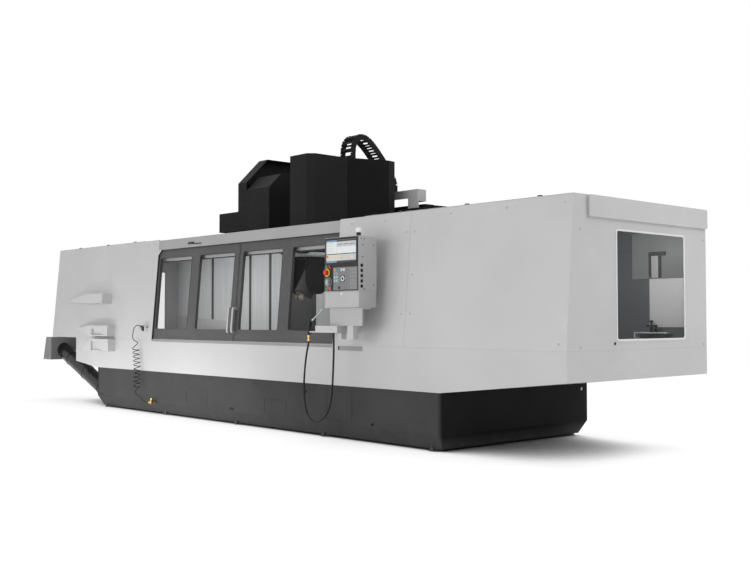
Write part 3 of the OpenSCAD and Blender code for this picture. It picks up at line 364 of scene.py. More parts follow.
coil_line = coiled(smooth(coil_route, 5))
coil_hose = hose("coil_hose_run", coil_line, 0.005, "coil_hose")


# modelling

def fresh():
    """Deselects everything, so that the next step sees only its own piece."""
    bpy.ops.object.select_all(action="DESELECT")


def edit_all():
    """Opens the active piece in edit mode with all of it selected."""
    bpy.ops.object.mode_set(mode="EDIT")
    bpy.ops.mesh.select_all(action="SELECT")


def leave():
    """Goes back from edit mode."""
    bpy.ops.object.mode_set(mode="OBJECT")


def block(low, high, round_off=0.0, segments=2):
    """A box between two corners, its edges rounded."""
    fresh()
    low, high = Vector(low), Vector(high)
    bpy.ops.mesh.primitive_cube_add(size=1, location=(low + high) / 2, scale=high - low)
    piece = bpy.context.object
    bpy.ops.object.transform_apply(location=True, rotation=True, scale=True)
    if round_off:
        edit_all()
        bpy.ops.mesh.bevel(offset=round_off, segments=segments, affect="EDGES")
        leave()
    return piece


def put(piece, matrix):
    """Moves a piece in its mesh, so that its object stays at the origin."""
    fresh()
    piece.select_set(True)
    bpy.context.view_layer.objects.active = piece
    piece.matrix_world = matrix
    bpy.ops.object.transform_apply(location=True, rotation=True, scale=True)
    return piece


def shift(x, y, z):
    """The matrix of a plain move."""
    return Matrix.Translation((x, y, z))


def aimed(place, aim):
    """The matrix that stands a piece's Z along aim at a place."""
    return Matrix.Translation(place) @ Vector(aim).to_track_quat("Z", "Y").to_matrix().to_4x4()


def turned(rings, place=(0, 0, 0), aim=(0, 0, 1), sides=24):
    """A turned piece through rings of (height, radius), its foot at a place."""
    fresh()
    bpy.ops.mesh.primitive_circle_add(vertices=sides, radius=rings[0][1], fill_type="NGON")
    piece = bpy.context.object
    edit_all()
    for (h0, r0), (h1, r1) in zip(rings, rings[1:]):
        bpy.ops.mesh.extrude_region_move(TRANSFORM_OT_translate={"value": (0, 0, h1 - h0)})
        bpy.ops.transform.resize(value=(r1 / r0, r1 / r0, 1))
    bpy.ops.mesh.select_all(action="SELECT")
    bpy.ops.mesh.normals_make_consistent(inside=False)
    leave()
    return put(piece, aimed(place, aim))


def rim(width, height, corner, wide, deep):
    """A flat frame around an opening, in X and Z with its lower left inner corner at the origin, deep along -Y."""
    fresh()
    bpy.ops.mesh.primitive_plane_add(size=1)
    piece = bpy.context.object
    piece.scale = (width + 2 * wide, height + 2 * wide, 1)
    bpy.ops.object.transform_apply(scale=True)
    edit_all()
    bpy.ops.mesh.bevel(offset=corner + wide, segments=6, affect="VERTICES")
    bpy.ops.mesh.inset(thickness=wide)
    bpy.ops.mesh.delete(type="FACE")
    bpy.ops.mesh.select_all(action="SELECT")
    bpy.ops.mesh.extrude_region_move(TRANSFORM_OT_translate={"value": (0, 0, deep)})
    bpy.ops.mesh.select_all(action="SELECT")
    bpy.ops.mesh.normals_make_consistent(inside=False)
    leave()
    return put(piece, shift(width / 2, 0, height / 2) @ Matrix.Rotation(math.pi / 2, 4, "X"))


def open_with(parts, wanted):
    """Opens the active piece in edit mode with only those of its faces or corners selected that are wanted."""
    bpy.ops.object.mode_set(mode="EDIT")
    bpy.ops.mesh.select_all(action="DESELECT")
    leave()
    for part in parts:
        part.select = wanted(part)
    bpy.ops.object.mode_set(mode="EDIT")


def hollow_below(low, high, wall):
    """A rounded square tube, open at its foot."""
    piece = block(low, high, 0.006)
    open_with(piece.data.polygons, lambda face: face.normal.z < -0.99)
    bpy.ops.mesh.inset(thickness=wall)
    bpy.ops.mesh.extrude_region_move(TRANSFORM_OT_translate={"value": (0, 0, (high[2] - low[2]) * 0.7)})
    leave()
    return piece


def joined(pieces):
    """Several pieces as one mesh, in the first one's object."""
    fresh()
    for piece in pieces:
        piece.select_set(True)
    bpy.context.view_layer.objects.active = pieces[0]
    if len(pieces) > 1:
        bpy.ops.object.join()
    return pieces[0]


def twin(piece, matrix):
    """A copy of a piece with a mesh of its own, moved by a matrix."""
    made = piece.copy()
    made.data = piece.data.copy()
    bpy.context.scene.collection.objects.link(made)
    return put(made, matrix)


def copies(piece, matrices):
    """A piece repeated at each matrix, joined into one, the model piece removed."""
    made = [twin(piece, matrix) for matrix in matrices]
    bpy.data.objects.remove(piece)
    return joined(made)


def paint(piece, look):
    """Gives a piece one finish."""
    piece.data.materials.clear()
    piece.data.materials.append(look)
    return piece


def done(piece, name, body, look=None):
    """Names a finished piece, smooths its round faces and lets it ride on a body."""
    piece.name = piece.data.name = name
    if look:
        paint(piece, look)
    fresh()
    piece.select_set(True)
    bpy.context.view_layer.objects.active = piece
    bpy.ops.object.shade_smooth_by_angle(angle=math.radians(38))
    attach(piece, body)
    return piece


def front(x, depth, height):
    """The matrix of a place on the leaning front: along, into the machine, up the slope."""
    return FRONT @ shift(x, depth, height)


def button_screw(radius):
    """A button-head screw with its socket, standing along Z."""
    return turned([(0, radius), (radius * 0.45, radius), (radius * 0.8, radius * 0.72), (radius * 0.8, radius * 0.42),
                   (radius * 0.3, radius * 0.42)], sides=12)


def screws(name, body, radius, places, aim, look):
    """Screw heads at places, all facing one way."""
    made = copies(button_screw(radius), [aimed(place, aim) for place in places])
    return done(made, name, body, look)


# doors

def door_pieces(side, body):
    """Window beads and the meeting seal of one door, side -1 for the left."""
    glass = 0.790
    beads = []
    for x in (0.092, 1.076):
        left = x if side > 0 else -x - glass
        beads.append(put(rim(0.786, 0.949, 0.027, 0.007, 0.0025), front(left + 0.002, 0.0202, 0.149)))
    done(joined(beads), body + "_window_beads", body, HEADER)
    edge = block((-0.009, -0.006, 0), (0.009, 0.0006, 1.27), 0.002)
    done(put(edge, front(side * 0.0105, 0.0198, 0.02)), body + "_meeting_seal", body, HEADER)


door_pieces(-1, "left_door")
door_pieces(1, "right_door")


# pendant

def pendant_bezel():
    """The black frame round the screen and the keypad, and the thin plate under the buttons."""
    y0, y1 = FACE_Y - 0.0032, FACE_Y - 0.0001
    right, top = FACE_X + 0.522, FACE_Z + 0.544
    bars = [((2.179, 1.845), (2.192, 2.0765)), ((2.664, 1.845), (right, 2.0765)), ((2.179, 2.0765), (right, top)),
            ((2.179, 1.797), (right, 1.845)), ((2.686, 1.559), (right, 1.797)), ((2.300, 1.559), (2.314, 1.797)),
            ((2.314, 1.559), (2.686, 1.5692))]
    made = [block((x0, y0, z0), (x1, y1, z1), 0.0012) for (x0, z0), (x1, z1) in bars]
    made.append(block((2.179, FACE_Y - 0.0003, 1.559), (2.300, y1, 1.797)))
    done(joined(made), "pendant_bezel", "pendant", BLACK_PLASTIC)


def pendant_keys():
    """Rows of keys in their colours, with a white ring and its knob among them."""
    first_x, first_z, pitch = FACE_X + 0.1615, FACE_Z + 0.0365, 0.036
    ring_x, ring_z = FACE_X + 0.2875, FACE_Z + 0.1265
    looks = {(0, 5): ORANGE_KEY, (1, 5): TEAL_KEY, (3, 5): WHITE_KEY, (4, 5): WHITE_KEY, (2, 0): BLACK_PLASTIC}
    looks |= {(i, j): CYAN_KEY if j < 4 else MAUVE_KEY for i in (0, 1) for j in (2, 3, 4)}
    looks |= {(i, j): BLACK_PLASTIC for i in (3, 4) for j in (2, 3)}
    key = block((-0.0135, -0.0055, -0.0135), (0.0135, -0.0027, 0.0135), 0.0016)
    made = []
    for i in range(10):
        for j in range(6):
            place = shift(first_x + pitch * i, FACE_Y, first_z + pitch * j)
            made.append(paint(twin(key, place), looks.get((i, j), KEY_GREY if i < 7 else PALE_KEY)))
    bpy.data.objects.remove(key)
    ring = turned([(0, 0.026), (0.0012, 0.026), (0.0016, 0.025), (0.0016, 0.016), (0.0004, 0.016)],
                  (ring_x, FACE_Y - 0.0054, ring_z), (0, -1, 0), 32)
    made.append(paint(ring, LENS))
    knob = turned([(0, 0.0155), (0.0014, 0.0155), (0.002, 0.013), (0.002, 0.004)],
                  (ring_x, FACE_Y - 0.0056, ring_z), (0, -1, 0), 24)
    made.append(paint(knob, BLACK_PLASTIC))
    done(joined(made), "pendant_keys", "pendant")


def pendant_screen_image():
    """Plain panes of light in the screen, without any text."""
    left, foot, large = 2.195, 1.846, 10
    y0, y1 = FACE_Y + 0.0034, FACE_Y + 0.0039
    panes = [((0.000, 0.215), (0.165, 0.228), SCREEN_BLUE), ((0.167, 0.215), (0.466, 0.228), SCREEN_DARK),
             ((0.000, 0.092), (0.165, 0.213), SCREEN_WHITE), ((0.167, 0.165), (0.466, 0.213), SCREEN_GREY),
             ((0.167, 0.092), (0.466, 0.163), SCREEN_WHITE), ((0.000, 0.086), (0.466, 0.090), SCREEN_DARK),
             ((0.000, 0.020), (0.225, 0.084), SCREEN_CREAM), ((0.227, 0.020), (0.466, 0.084), SCREEN_GREY),
             ((0.000, 0.002), (0.165, 0.018), SCREEN_BLUE), ((0.167, 0.002), (0.466, 0.018), SCREEN_DARK)]
    panes += [((0.180 + 0.094 * k, 0.182), (0.255 + 0.094 * k, 0.188), SCREEN_DARK) for k in range(3)]
    panes += [((0.010, 0.200 - 0.017 * k), (0.120 - 0.012 * (k % 3), 0.204 - 0.017 * k), SCREEN_GREY)
              for k in range(6)]
    panes += [((0.240 + 0.05 * k, 0.045), (0.262 + 0.05 * k, 0.060), look)
              for k, look in enumerate((YELLOW, SCREEN_CREAM, YELLOW, SCREEN_WHITE))]
    panes.append(((0.008, 0.056), (0.030, 0.074), RED))
    made = []
    for n, ((x0, z0), (x1, z1), look) in enumerate(panes):
        lift = 0 if n < large else 0.0004
        pane = block((left + x0, y0 - lift, foot + z0), (left + x1, y1 - lift, foot + z1), 0.0001, 1)
        made.append(paint(pane, look))
    done(joined(made), "pendant_screen_image", "pendant")


def pendant_rings():
    """Collars of the stop and push buttons, the jog wheel's dial, grip and cap, and the stop button's dome."""
    stop_x, stop_z = FACE_X + 0.037, FACE_Z + 0.193
    stop = turned([(0, 0.040), (0.003, 0.040), (0.0045, 0.037), (0.0045, 0.0285), (0.0002, 0.0285)],
                  (stop_x, FACE_Y, stop_z), (0, -1, 0), 40)
    done(stop, "stop_button_collar", "pendant", YELLOW)
    collar = turned([(0, 0.0175), (0.002, 0.0175), (0.003, 0.016), (0.003, 0.0138), (0.0002, 0.0138)], sides=28)
    rings = copies(collar, [aimed((FACE_X + x, FACE_Y, FACE_Z + z), (0, -1, 0))
                            for x in (0.037, 0.083) for z in (0.027, 0.253)])
    done(rings, "push_button_collars", "pendant", ZINC)
    dial = turned([(0, 0.052), (0.0015, 0.052), (0.0025, 0.050), (0.0025, 0.0445), (0.0002, 0.0445)],
                  (FACE_X + 0.060, FACE_Y, FACE_Z + 0.093), (0, -1, 0), 48)
    done(dial, "jog_dial", "pendant", PALE_KEY)
    rib = block((-0.0016, -0.0195, 0.0405), (0.0016, -0.0012, 0.0432), 0.0006, 1)
    hub = Vector((FACE_X + 0.060, FACE_Y, FACE_Z + 0.093))
    grip = copies(rib, [Matrix.Translation(hub) @ Matrix.Rotation(math.tau * k / 40, 4, "Y") for k in range(40)])
    done(grip, "jog_wheel_grip", "jog_wheel", GREY_PLASTIC)
    cap = turned([(0, 0.022), (0.002, 0.022), (0.003, 0.020), (0.003, 0.012), (0.0018, 0.011)],
                 (hub.x, FACE_Y - 0.0198, hub.z), (0, -1, 0), 32)
    done(cap, "jog_wheel_cap", "jog_wheel", ZINC)
    dome = turned([(0, 0.0265), (0.004, 0.0262), (0.0075, 0.023), (0.0095, 0.017), (0.0105, 0.008), (0.0107, 0.003)],
                  (stop_x, FACE_Y - 0.0268, stop_z), (0, -1, 0), 36)
    done(dome, "stop_button_dome", "emergency_stop", RED)


def pendant_fittings():
    """Side ports and screws, the beacon, the straight shell round the pendant's foot and its latch."""
    right = FACE_X + 0.526
    ports = []
    for k in range(5):
        z = FACE_Z + 0.030 + 0.052 * k
        ports.append(block((right - 0.011, FACE_Y + 0.0265, z + 0.0005), (right - 0.003, FACE_Y + 0.0595, z + 0.0315),
                           0.0015))
        ports.append(turned([(0, 0.010), (0.004, 0.010), (0.004, 0.006), (0.001, 0.006)],
                            (right - 0.0035, FACE_Y + 0.043, z + 0.016), (1, 0, 0), 16))
    done(joined(ports), "pendant_ports", "pendant", BLACK_PLASTIC)
    screws("pendant_side_screws", "pendant", 0.006,
           [(right, FACE_Y + y, FACE_Z + z) for y, z in ((0.035, 0.52), (0.075, 0.52), (0.055, 0.46), (0.055, 0.34),
                                                         (0.20, 0.06), (0.20, 0.46), (0.075, 0.02))],
           (1, 0, 0), BLACK_PLASTIC)
    beacon = Vector((FACE_X + 0.390, FACE_Y + 0.119, FACE_Z + 0.5481))
    foot = turned([(0, 0.031), (0.005, 0.031), (0.007, 0.0235), (0.040, 0.0235), (0.042, 0.022), (0.0455, 0.022)],
                  beacon, sides=40)
    done(foot, "beacon_foot", "pendant", BLACK_PLASTIC)
    lens = turned([(0, 0.024), (0.001, 0.029), (0.040, 0.029), (0.044, 0.027), (0.046, 0.022), (0.0465, 0.012)],
                  beacon + Vector((0, 0, 0.0453)), sides=40)
    rib = turned([(0, 0.0288), (0.0012, 0.0297), (0.0028, 0.0297), (0.004, 0.0288)], sides=40)
    ribs = copies(rib, [Matrix.Translation(beacon + Vector((0, 0, 0.051 + 0.008 * k))) for k in range(4)])
    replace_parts(done(joined([lens, ribs]), "beacon_lens", "pendant", LENS), "beacon")
    chin = hollow_below((FACE_X + 0.0005, FACE_Y + 0.0002, 1.3898), (right - 0.0005, FACE_Y + 0.2385, 1.5548), 0.010)
    done(chin, "pendant_chin", "pendant", PENDANT)
    latch = joined([block((2.395, FACE_Y - 0.0048, 1.515), (2.455, FACE_Y + 0.0008, 1.545), 0.002),
                    turned([(0, 0.008), (0.003, 0.008), (0.004, 0.006)], (2.425, FACE_Y - 0.0046, 1.530), (0, -1, 0),
                           16)])
    done(latch, "pendant_latch", "pendant", ZINC)


pendant_bezel()
pendant_keys()
pendant_screen_image()
pendant_rings()
pendant_fittings()


# hose ends and guns

def gun_pieces():
    """The wash gun's wand and guard, the nuts on both hoses and the air gun's nozzle."""
    wand = Vector((math.sin(math.radians(56)), 0, math.cos(math.radians(56))))
    start = Vector((GUN_X + 0.022, GUN_Y, 1.236)) + wand * 0.045
    tube = turned([(0, 0.0105), (0.012, 0.0105), (0.014, 0.0068), (0.188, 0.0068), (0.190, 0.0085), (0.206, 0.0085),
                   (0.210, 0.0045), (0.2102, 0.003), (0.204, 0.003)], start, wand, 20)
    done(tube, "wash_gun_wand", "frame", SATIN)
    guard = joined([block((GUN_X + 0.030, GUN_Y - 0.004, 1.118), (GUN_X + 0.046, GUN_Y + 0.004, 1.124), 0.0015),
                    block((GUN_X + 0.040, GUN_Y - 0.004, 1.120), (GUN_X + 0.046, GUN_Y + 0.004, 1.214), 0.0015),
                    block((GUN_X + 0.014, GUN_Y - 0.004, 1.118), (GUN_X + 0.032, GUN_Y + 0.004, 1.124), 0.0015)])
    done(guard, "wash_gun_guard", "frame", BLACK_PLASTIC)
    nut = turned([(0, 0.0155), (0.003, 0.017), (0.015, 0.017), (0.018, 0.0155)], sides=6)
    nuts = copies(nut, [aimed(place, aim) for place, aim in (
        ((GUN_X, GUN_Y, 1.046), (0, 0, 1)), ((GUN_X, GUN_Y, 1.086), (0, 0, 1)),
        ((-1.900, COIL_Y + 0.036, 0.160), (1, 0, 0)), ((-1.872, COIL_Y + 0.036, 0.160), (1, 0, 0)),
        ((-1.830, BASE_FRONT - 0.030, 0.160), (0, 1, 0)), ((-1.830, COIL_Y + 0.036, 0.1995), (0, 0, 1)))])
    done(nuts, "hose_nuts", "frame", BRASS)
    nozzle = turned([(0, 0.010), (0.008, 0.010), (0.010, 0.006), (0.060, 0.0045), (0.0602, 0.003), (0.05, 0.0028)],
                    (-2.011, BASE_FRONT - 0.086, 1.172), (1, 0, -0.12), 18)
    done(nozzle, "air_gun_nozzle", "frame", SATIN)


gun_pieces()


# enclosure

def enclosure_pieces():
    """Seals, window frames, screws, lock, clips, door track trim, tray tubes and the corner of the door opening."""
    seals = [put(block((-0.004, 0.0008, 0.004), (0.004, 0.013, 1.205), 0.002), front(x, 0, 0))
             for x in (-1.9062, 1.9062)]
    seals.append(put(block((-1.90, 0.0025, -0.010), (1.90, 0.013, 0.0015), 0.002), front(0, 0, 1.212)))
    done(joined(seals), "door_opening_seals", "frame", TRIM)
    wide = 1.102
    for side, name, start in ((-1, "left", -0.281), (1, "right", -0.436)):
        face = side * HALF
        place = (shift(face, start, 1.096) @ Matrix.Rotation(side * math.pi / 2, 4, "Z")
                 @ shift(0 if side > 0 else -wide, 0, 0))
        made = put(rim(wide, 0.967, 0.016, 0.018, 0.004), place)
        done(made, name + "_end_window_frame", "frame", COVER)
    dots = [front(x, 0, h) for x, h in ((3.07, 0.72), (3.07, 0.33), (3.07, 1.15), (2.95, 1.15), (2.95, 0.33),
                                        (4.90, 0.06), (4.90, 1.28), (2.10, 1.29), (2.62, 1.29), (3.55, 1.29),
                                        (4.25, 1.29), (-2.2, 1.29), (-3.0, 1.29), (-3.8, 1.29), (-4.6, 1.29),
                                        (-4.9, 0.06), (-2.0, 0.06), (-2.0, 1.29))]
    made = copies(button_screw(0.009), [place @ Matrix.Rotation(math.pi / 2, 4, "X") for place in dots])
    done(made, "front_panel_screws", "frame", LIGHT)
    ends = [Vector((HALF, y, z)) for y in (-0.98, 1.02) for z in (1.03, 2.05)]
    screws("right_end_screws", "frame", 0.009, ends, (1, 0, 0), LIGHT)
    screws("left_end_screws", "frame", 0.009, [Vector((-p.x, p.y, p.z)) for p in ends], (-1, 0, 0), LIGHT)
    lock = turned([(0, 0.013), (0.004, 0.013), (0.006, 0.011), (0.006, 0.005), (0.003, 0.005)],
                  (HALF, -0.478, 1.057), (1, 0, 0), 24)
    done(lock, "end_panel_lock", "frame", BLACK_PLASTIC)
    clip = block((-0.022, -0.012, 0), (0.022, 0.016, 0.010), 0.003)
    clips = copies(clip, [shift(x, -1.052, TOP + 0.004) for x in (-4.3, -3.4, -2.6, 2.45, 2.95, 3.75, 4.62)])
    done(clips, "roof_clips", "frame", BLACK_PLASTIC)
    plate = paint(block((2.005, -1.1785, 0.944), (2.397, -1.1748, 0.991), 0.0015), TRACK)
    mark = paint(block((2.010, -1.1792, 0.948), (2.030, -1.1780, 0.987), 0.0005), BLACK_PLASTIC)
    done(joined([plate, mark]), "track_end_cover", "frame")
    switch = joined([block((-1.162, -0.010, 1.252), (-1.030, 0.0004, 1.278), 0.002),
                     block((-1.032, -0.006, 1.246), (-0.850, 0.0004, 1.258), 0.0015)])
    done(put(switch, front(0, 0, 0)), "door_switch", "frame", BLACK_PLASTIC)
    strip = block((-OPENING, -1.1772, 0.972), (OPENING, -1.1748, 0.9985), 0.001)
    done(strip, "door_sill_strip", "frame", TRACK)
    tubes = [hollow_below((x0, -1.427, 1.068), (x1, -1.360, top), 0.004)
             for x0, x1, top in ((2.266, 2.3575, 1.1352), (2.447, 2.540, 1.36))]
    done(joined(tubes), "tray_tubes", "frame", LIGHT)
    gusset = block((0, 0, -0.075), (0.075, 0.004, 0))
    edit_all()
    bpy.ops.mesh.bisect(plane_co=(0.075, 0, 0), plane_no=(1, 0, -1), use_fill=True, clear_outer=True)
    leave()
    done(put(gusset, front(-1.9105, 0.0004, 1.2118)), "opening_corner_gusset", "frame", LIGHT)
    line = block((-0.004, 0.0008, 0), (0.004, 0.013, 0.112), 0.002)
    lean = front(-1.9105, 0, 1.1368) @ Matrix.Rotation(math.pi / 4, 4, "Y")
    done(put(line, lean), "opening_corner_seal", "frame", TRIM)


enclosure_pieces()


# inside

def inside_pieces():
    """Rear wall seams and liners, drip and chip guards, fittings of the right-hand bay and the head's conduit."""
    strips = [block((x - 0.030, 1.0655, LINER_LOW), (x + 0.030, REAR_SKIN, LINER_TOP), 0.002)
              for x in (-3.887, -2.819, -2.290, -1.2, 1.2, 2.290, 2.819, 3.887)]
    done(joined(strips), "rear_wall_seams", "frame", HEADER)
    drip = joined([block((-OPENING, -0.990, 2.054), (OPENING, -0.984, 2.215), 0.0015),
                   block((-OPENING, -0.987, 2.206), (OPENING, -0.982, 2.222), 0.0015)])
    done(drip, "door_drip_guard", "frame", PENDANT)
    lip = block((-OPENING, -0.993, 2.042), (OPENING, -0.981, 2.056), 0.003)
    done(lip, "door_drip_lip", "frame", TRIM)
    guard = block((-4.975, 1.052, LINER_LOW), (-3.25, REAR_SKIN, 1.225))
    open_with(guard.data.vertices, lambda corner: corner.co.x < -4.9 and corner.co.z > 1.2)
    bpy.ops.transform.translate(value=(0, 0, 0.115))
    bpy.ops.mesh.select_all(action="SELECT")
    bpy.ops.mesh.bevel(offset=0.003, segments=2, affect="EDGES")
    leave()
    done(guard, "rear_chip_guard", "frame", LIGHT)
    liner = joined([block((3.93, 1.0655, LINER_LOW), (4.975, REAR_SKIN, LINER_TOP), 0.002),
                    block((3.93, 1.0600, 1.98), (4.975, 1.0670, 2.00), 0.002)])
    done(liner, "right_bay_liner", "frame", CASTING)
    sides = joined([block((x0, 1.0625, LINER_LOW), (x1, REAR_SKIN, LINER_TOP), 0.002)
                    for x0, x1 in ((-1.877, -1.232), (1.232, 1.877))])
    done(sides, "column_side_liners", "frame", HEADER)
    cover = joined([block((4.357, 1.0575, 1.192), (4.762, REAR_SKIN, 1.715), 0.004),
                    block((4.372, 1.0550, 1.207), (4.747, 1.0590, 1.700), 0.0015)])
    done(cover, "rear_access_cover", "frame", COVER)
    screen = joined([block((4.160, 1.0450, 1.690), (4.766, 1.0700, 2.165), 0.003),
                     block((4.160, 1.0400, 2.145), (4.766, 1.0480, 2.165), 0.003)])
    done(screen, "upper_bay_guard", "frame", TRACK)
    gate = joined([paint(block((4.366, 1.030, 1.925), (4.560, 1.047, 1.965), 0.003), HEADER),
                   paint(block((4.366, 1.030, 1.700), (4.396, 1.047, 1.930), 0.003), HEADER),
                   paint(block((4.396, 1.036, 1.700), (4.478, 1.047, 1.926), 0.002), LIGHT),
                   paint(block((4.478, 1.030, 1.700), (4.508, 1.047, 1.930), 0.003), HEADER)])
    done(gate, "bay_guard_gate", "frame")
    shelf = joined([block((4.230, 0.958, 1.128), (4.617, REAR_SKIN, 1.140), 0.003),
                    block((4.230, 0.958, 1.060), (4.242, REAR_SKIN, 1.132), 0.003)])
    done(shelf, "inner_shelf", "frame", STAINLESS)
    on_shelf = 1.1398
    post = turned([(0, 0.020), (0.012, 0.020), (0.016, 0.011), (0.096, 0.011), (0.100, 0.018), (0.118, 0.018),
                   (0.122, 0.012)], (4.415, 1.0, on_shelf), sides=18)
    spare = turned([(0, 0.016), (0.03, 0.016), (0.036, 0.009), (0.062, 0.009)], (4.466, 1.0, on_shelf), sides=18)
    cross = turned([(0, 0.013), (0.012, 0.013), (0.016, 0.008), (0.100, 0.008), (0.104, 0.013), (0.116, 0.013)],
                   (4.363, 1.0, 1.205), (1, 0, 0), 18)
    done(joined([post, spare, cross]), "shelf_fittings", "frame", BLACK_PLASTIC)
    turns = 62
    rib = turned([(0, 0.012), (0.001, 0.026), (0.004, 0.030), (0.014, 0.030), (0.017, 0.026), (0.018, 0.012),
                  (0.030, 0.012)], sides=14)
    ring = copies(rib, [Matrix.Rotation(math.tau * k / turns, 4, "Z") @ aimed((0.268, 0, 2.090), (0, 1, 0))
                        for k in range(turns)])
    done(ring, "swivel_conduit", "fork", WHITE_KEY)
    clamp = block((0.236, -0.03, 2.060), (0.300, 0.03, 2.1195), 0.006)
    clamps = copies(clamp, [Matrix.Rotation(math.tau * k / 3 + 0.4, 4, "Z") for k in range(3)])
    done(clamps, "swivel_conduit_clamps", "fork", ZINC)


inside_pieces()


# roof

def roof_pieces():
    """The changer's lubrication fitting and screws, the head's side screws, thin sheets of painted shade on the
    head's sides, and the carrier's links.
    """
    elbow = turned([(0, 0.020), (0.02, 0.020), (0.024, 0.013), (0.06, 0.013)], (-2.2295, 0.16, 2.66), (-1, 0, 0), 16)
    stem = turned([(0, 0.017), (0.02, 0.017), (0.03, 0.010), (0.07, 0.010)], (-2.28, 0.16, 2.655), sides=16)
    done(joined([elbow, stem]), "lube_fitting", "frame", BRASS)
    changer_face = 0.1044
    seams = [(x, changer_face, z) for x in (-1.70, -1.58) for z in (2.60, 2.85, 3.10)]
    seams += [(x, changer_face, z) for x in (-1.48, -1.25, -1.04) for z in (2.45, 3.03)]
    screws("changer_cover_screws", "frame", 0.010, seams, (0, -1, 0), BLACK_PLASTIC)
    sides = [(0.2502, y, z) for y in (-0.05, 0.18, 0.41) for z in (2.42, 3.32)]
    screws("head_cover_screws", "head", 0.010, sides, (1, 0, 0), BLACK_PLASTIC)
    # painted shade: thin deep black sheets laid on the head cover's flaring sides make them darker than its front
    flare, low, high = math.atan2(0.569, 0.185), 2.376, 3.374
    right = put(block((0.001, -0.0015, low), (0.597, 0.0005, high), 0.0004, 1),
                shift(0.25, 0.447, 0) @ Matrix.Rotation(flare, 4, "Z"))
    left = put(block((0.001, -0.0005, low), (0.597, 0.0015, high), 0.0004, 1),
               shift(-0.25, 0.447, 0) @ Matrix.Rotation(math.pi - flare, 4, "Z"))
    done(joined([right, left]), "head_side_painted_shade", "head", DEEP_BLACK_SIDE_SHADE)
    links = twin(nodes["cable_carrier"], Matrix.Identity(4))
    for key in [k for k in links.keys() if k.startswith("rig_")]:
        del links[key]
    links.parent = None
    fresh()
    links.select_set(True)
    bpy.context.view_layer.objects.active = links
    edit_all()
    bpy.ops.mesh.remove_doubles(threshold=0.00005)
    leave()
    links.name = links.data.name = "cable_carrier_links"
    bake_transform(links)
    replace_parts(links, "cable_carrier")


roof_pieces()


# back

def back_pieces():
    """Ribs of the rear wall, the cabinet's latches, grille and conduits, column bolts and the motor's fins."""
    ribs = [block((x - 0.04, REAR - 0.0005, 1.03), (x + 0.04, REAR + 0.03, 2.32), 0.006)
            for x in (-4.5, -3.6, -2.7, -1.8, 1.8, 2.7, 3.6, 4.5)]
    ribs += [block((x0, REAR - 0.0005, z), (x1, REAR + 0.022, z + 0.05), 0.006)
             for x0, x1 in ((-4.9, -1.3), (1.3, 4.9)) for z in (1.20, 2.1)]
    done(joined(ribs), "rear_wall_ribs", "frame", STAINLESS)
    latch = joined([turned([(0, 0.030), (0.006, 0.030), (0.010, 0.026)], sides=28),
                    block((-0.010, -0.045, 0.009), (0.010, 0.045, 0.030), 0.005)])
    face = COLUMN_REAR + 0.414
    latches = copies(latch, [aimed((-0.54, face, z), (0, 1, 0)) for z in (1.15, 1.65, 2.15)])
    done(latches, "cabinet_latches", "frame", BLACK_PLASTIC)
    grille = joined([block((-0.42, face - 0.001, 1.00 + 0.03 * k), (-0.12, face + 0.006, 1.014 + 0.03 * k), 0.003)
                     for k in range(9)])
    done(grille, "cabinet_grille", "frame", BLACK_PLASTIC)
    ring = turned([(0, 0.027), (0.006, 0.032), (0.012, 0.032), (0.0177, 0.027)], sides=18)
    pipes = copies(ring, [shift(x, 2.205, 0.5735 + 0.018 * k) for x in (-0.4, -0.25, -0.1) for k in range(12)])
    done(pipes, "cabinet_conduits", "frame", BLACK_PLASTIC)
    bolt = turned([(0, 0.030), (0.004, 0.030), (0.004, 0.022), (0.018, 0.022), (0.022, 0.018)], sides=6)
    places = [(x, y, 0.573) for x in (-1.08, 1.08) for y in (1.35, 1.62, 1.89, 2.12)]
    bolts = copies(bolt, [aimed(place, (0, 0, 1)) for place in places])
    done(bolts, "column_bolts", "frame", ZINC)
    fins = [block((-0.069, 1.227, 2.78 + 0.022 * k), (0.069, 1.365, 2.79 + 0.022 * k), 0.002) for k in range(7)]
    fins.append(block((-0.05, 1.246, 2.9995), (0.05, 1.346, 3.012), 0.006))
    fins.append(turned([(0, 0.022), (0.03, 0.022), (0.034, 0.026), (0.06, 0.026)], (0, 1.361, 2.965), (0, 1, 0), 20))
    done(joined(fins), "z_motor_fins", "frame", BLACK)


back_pieces()


# base and chip discharge

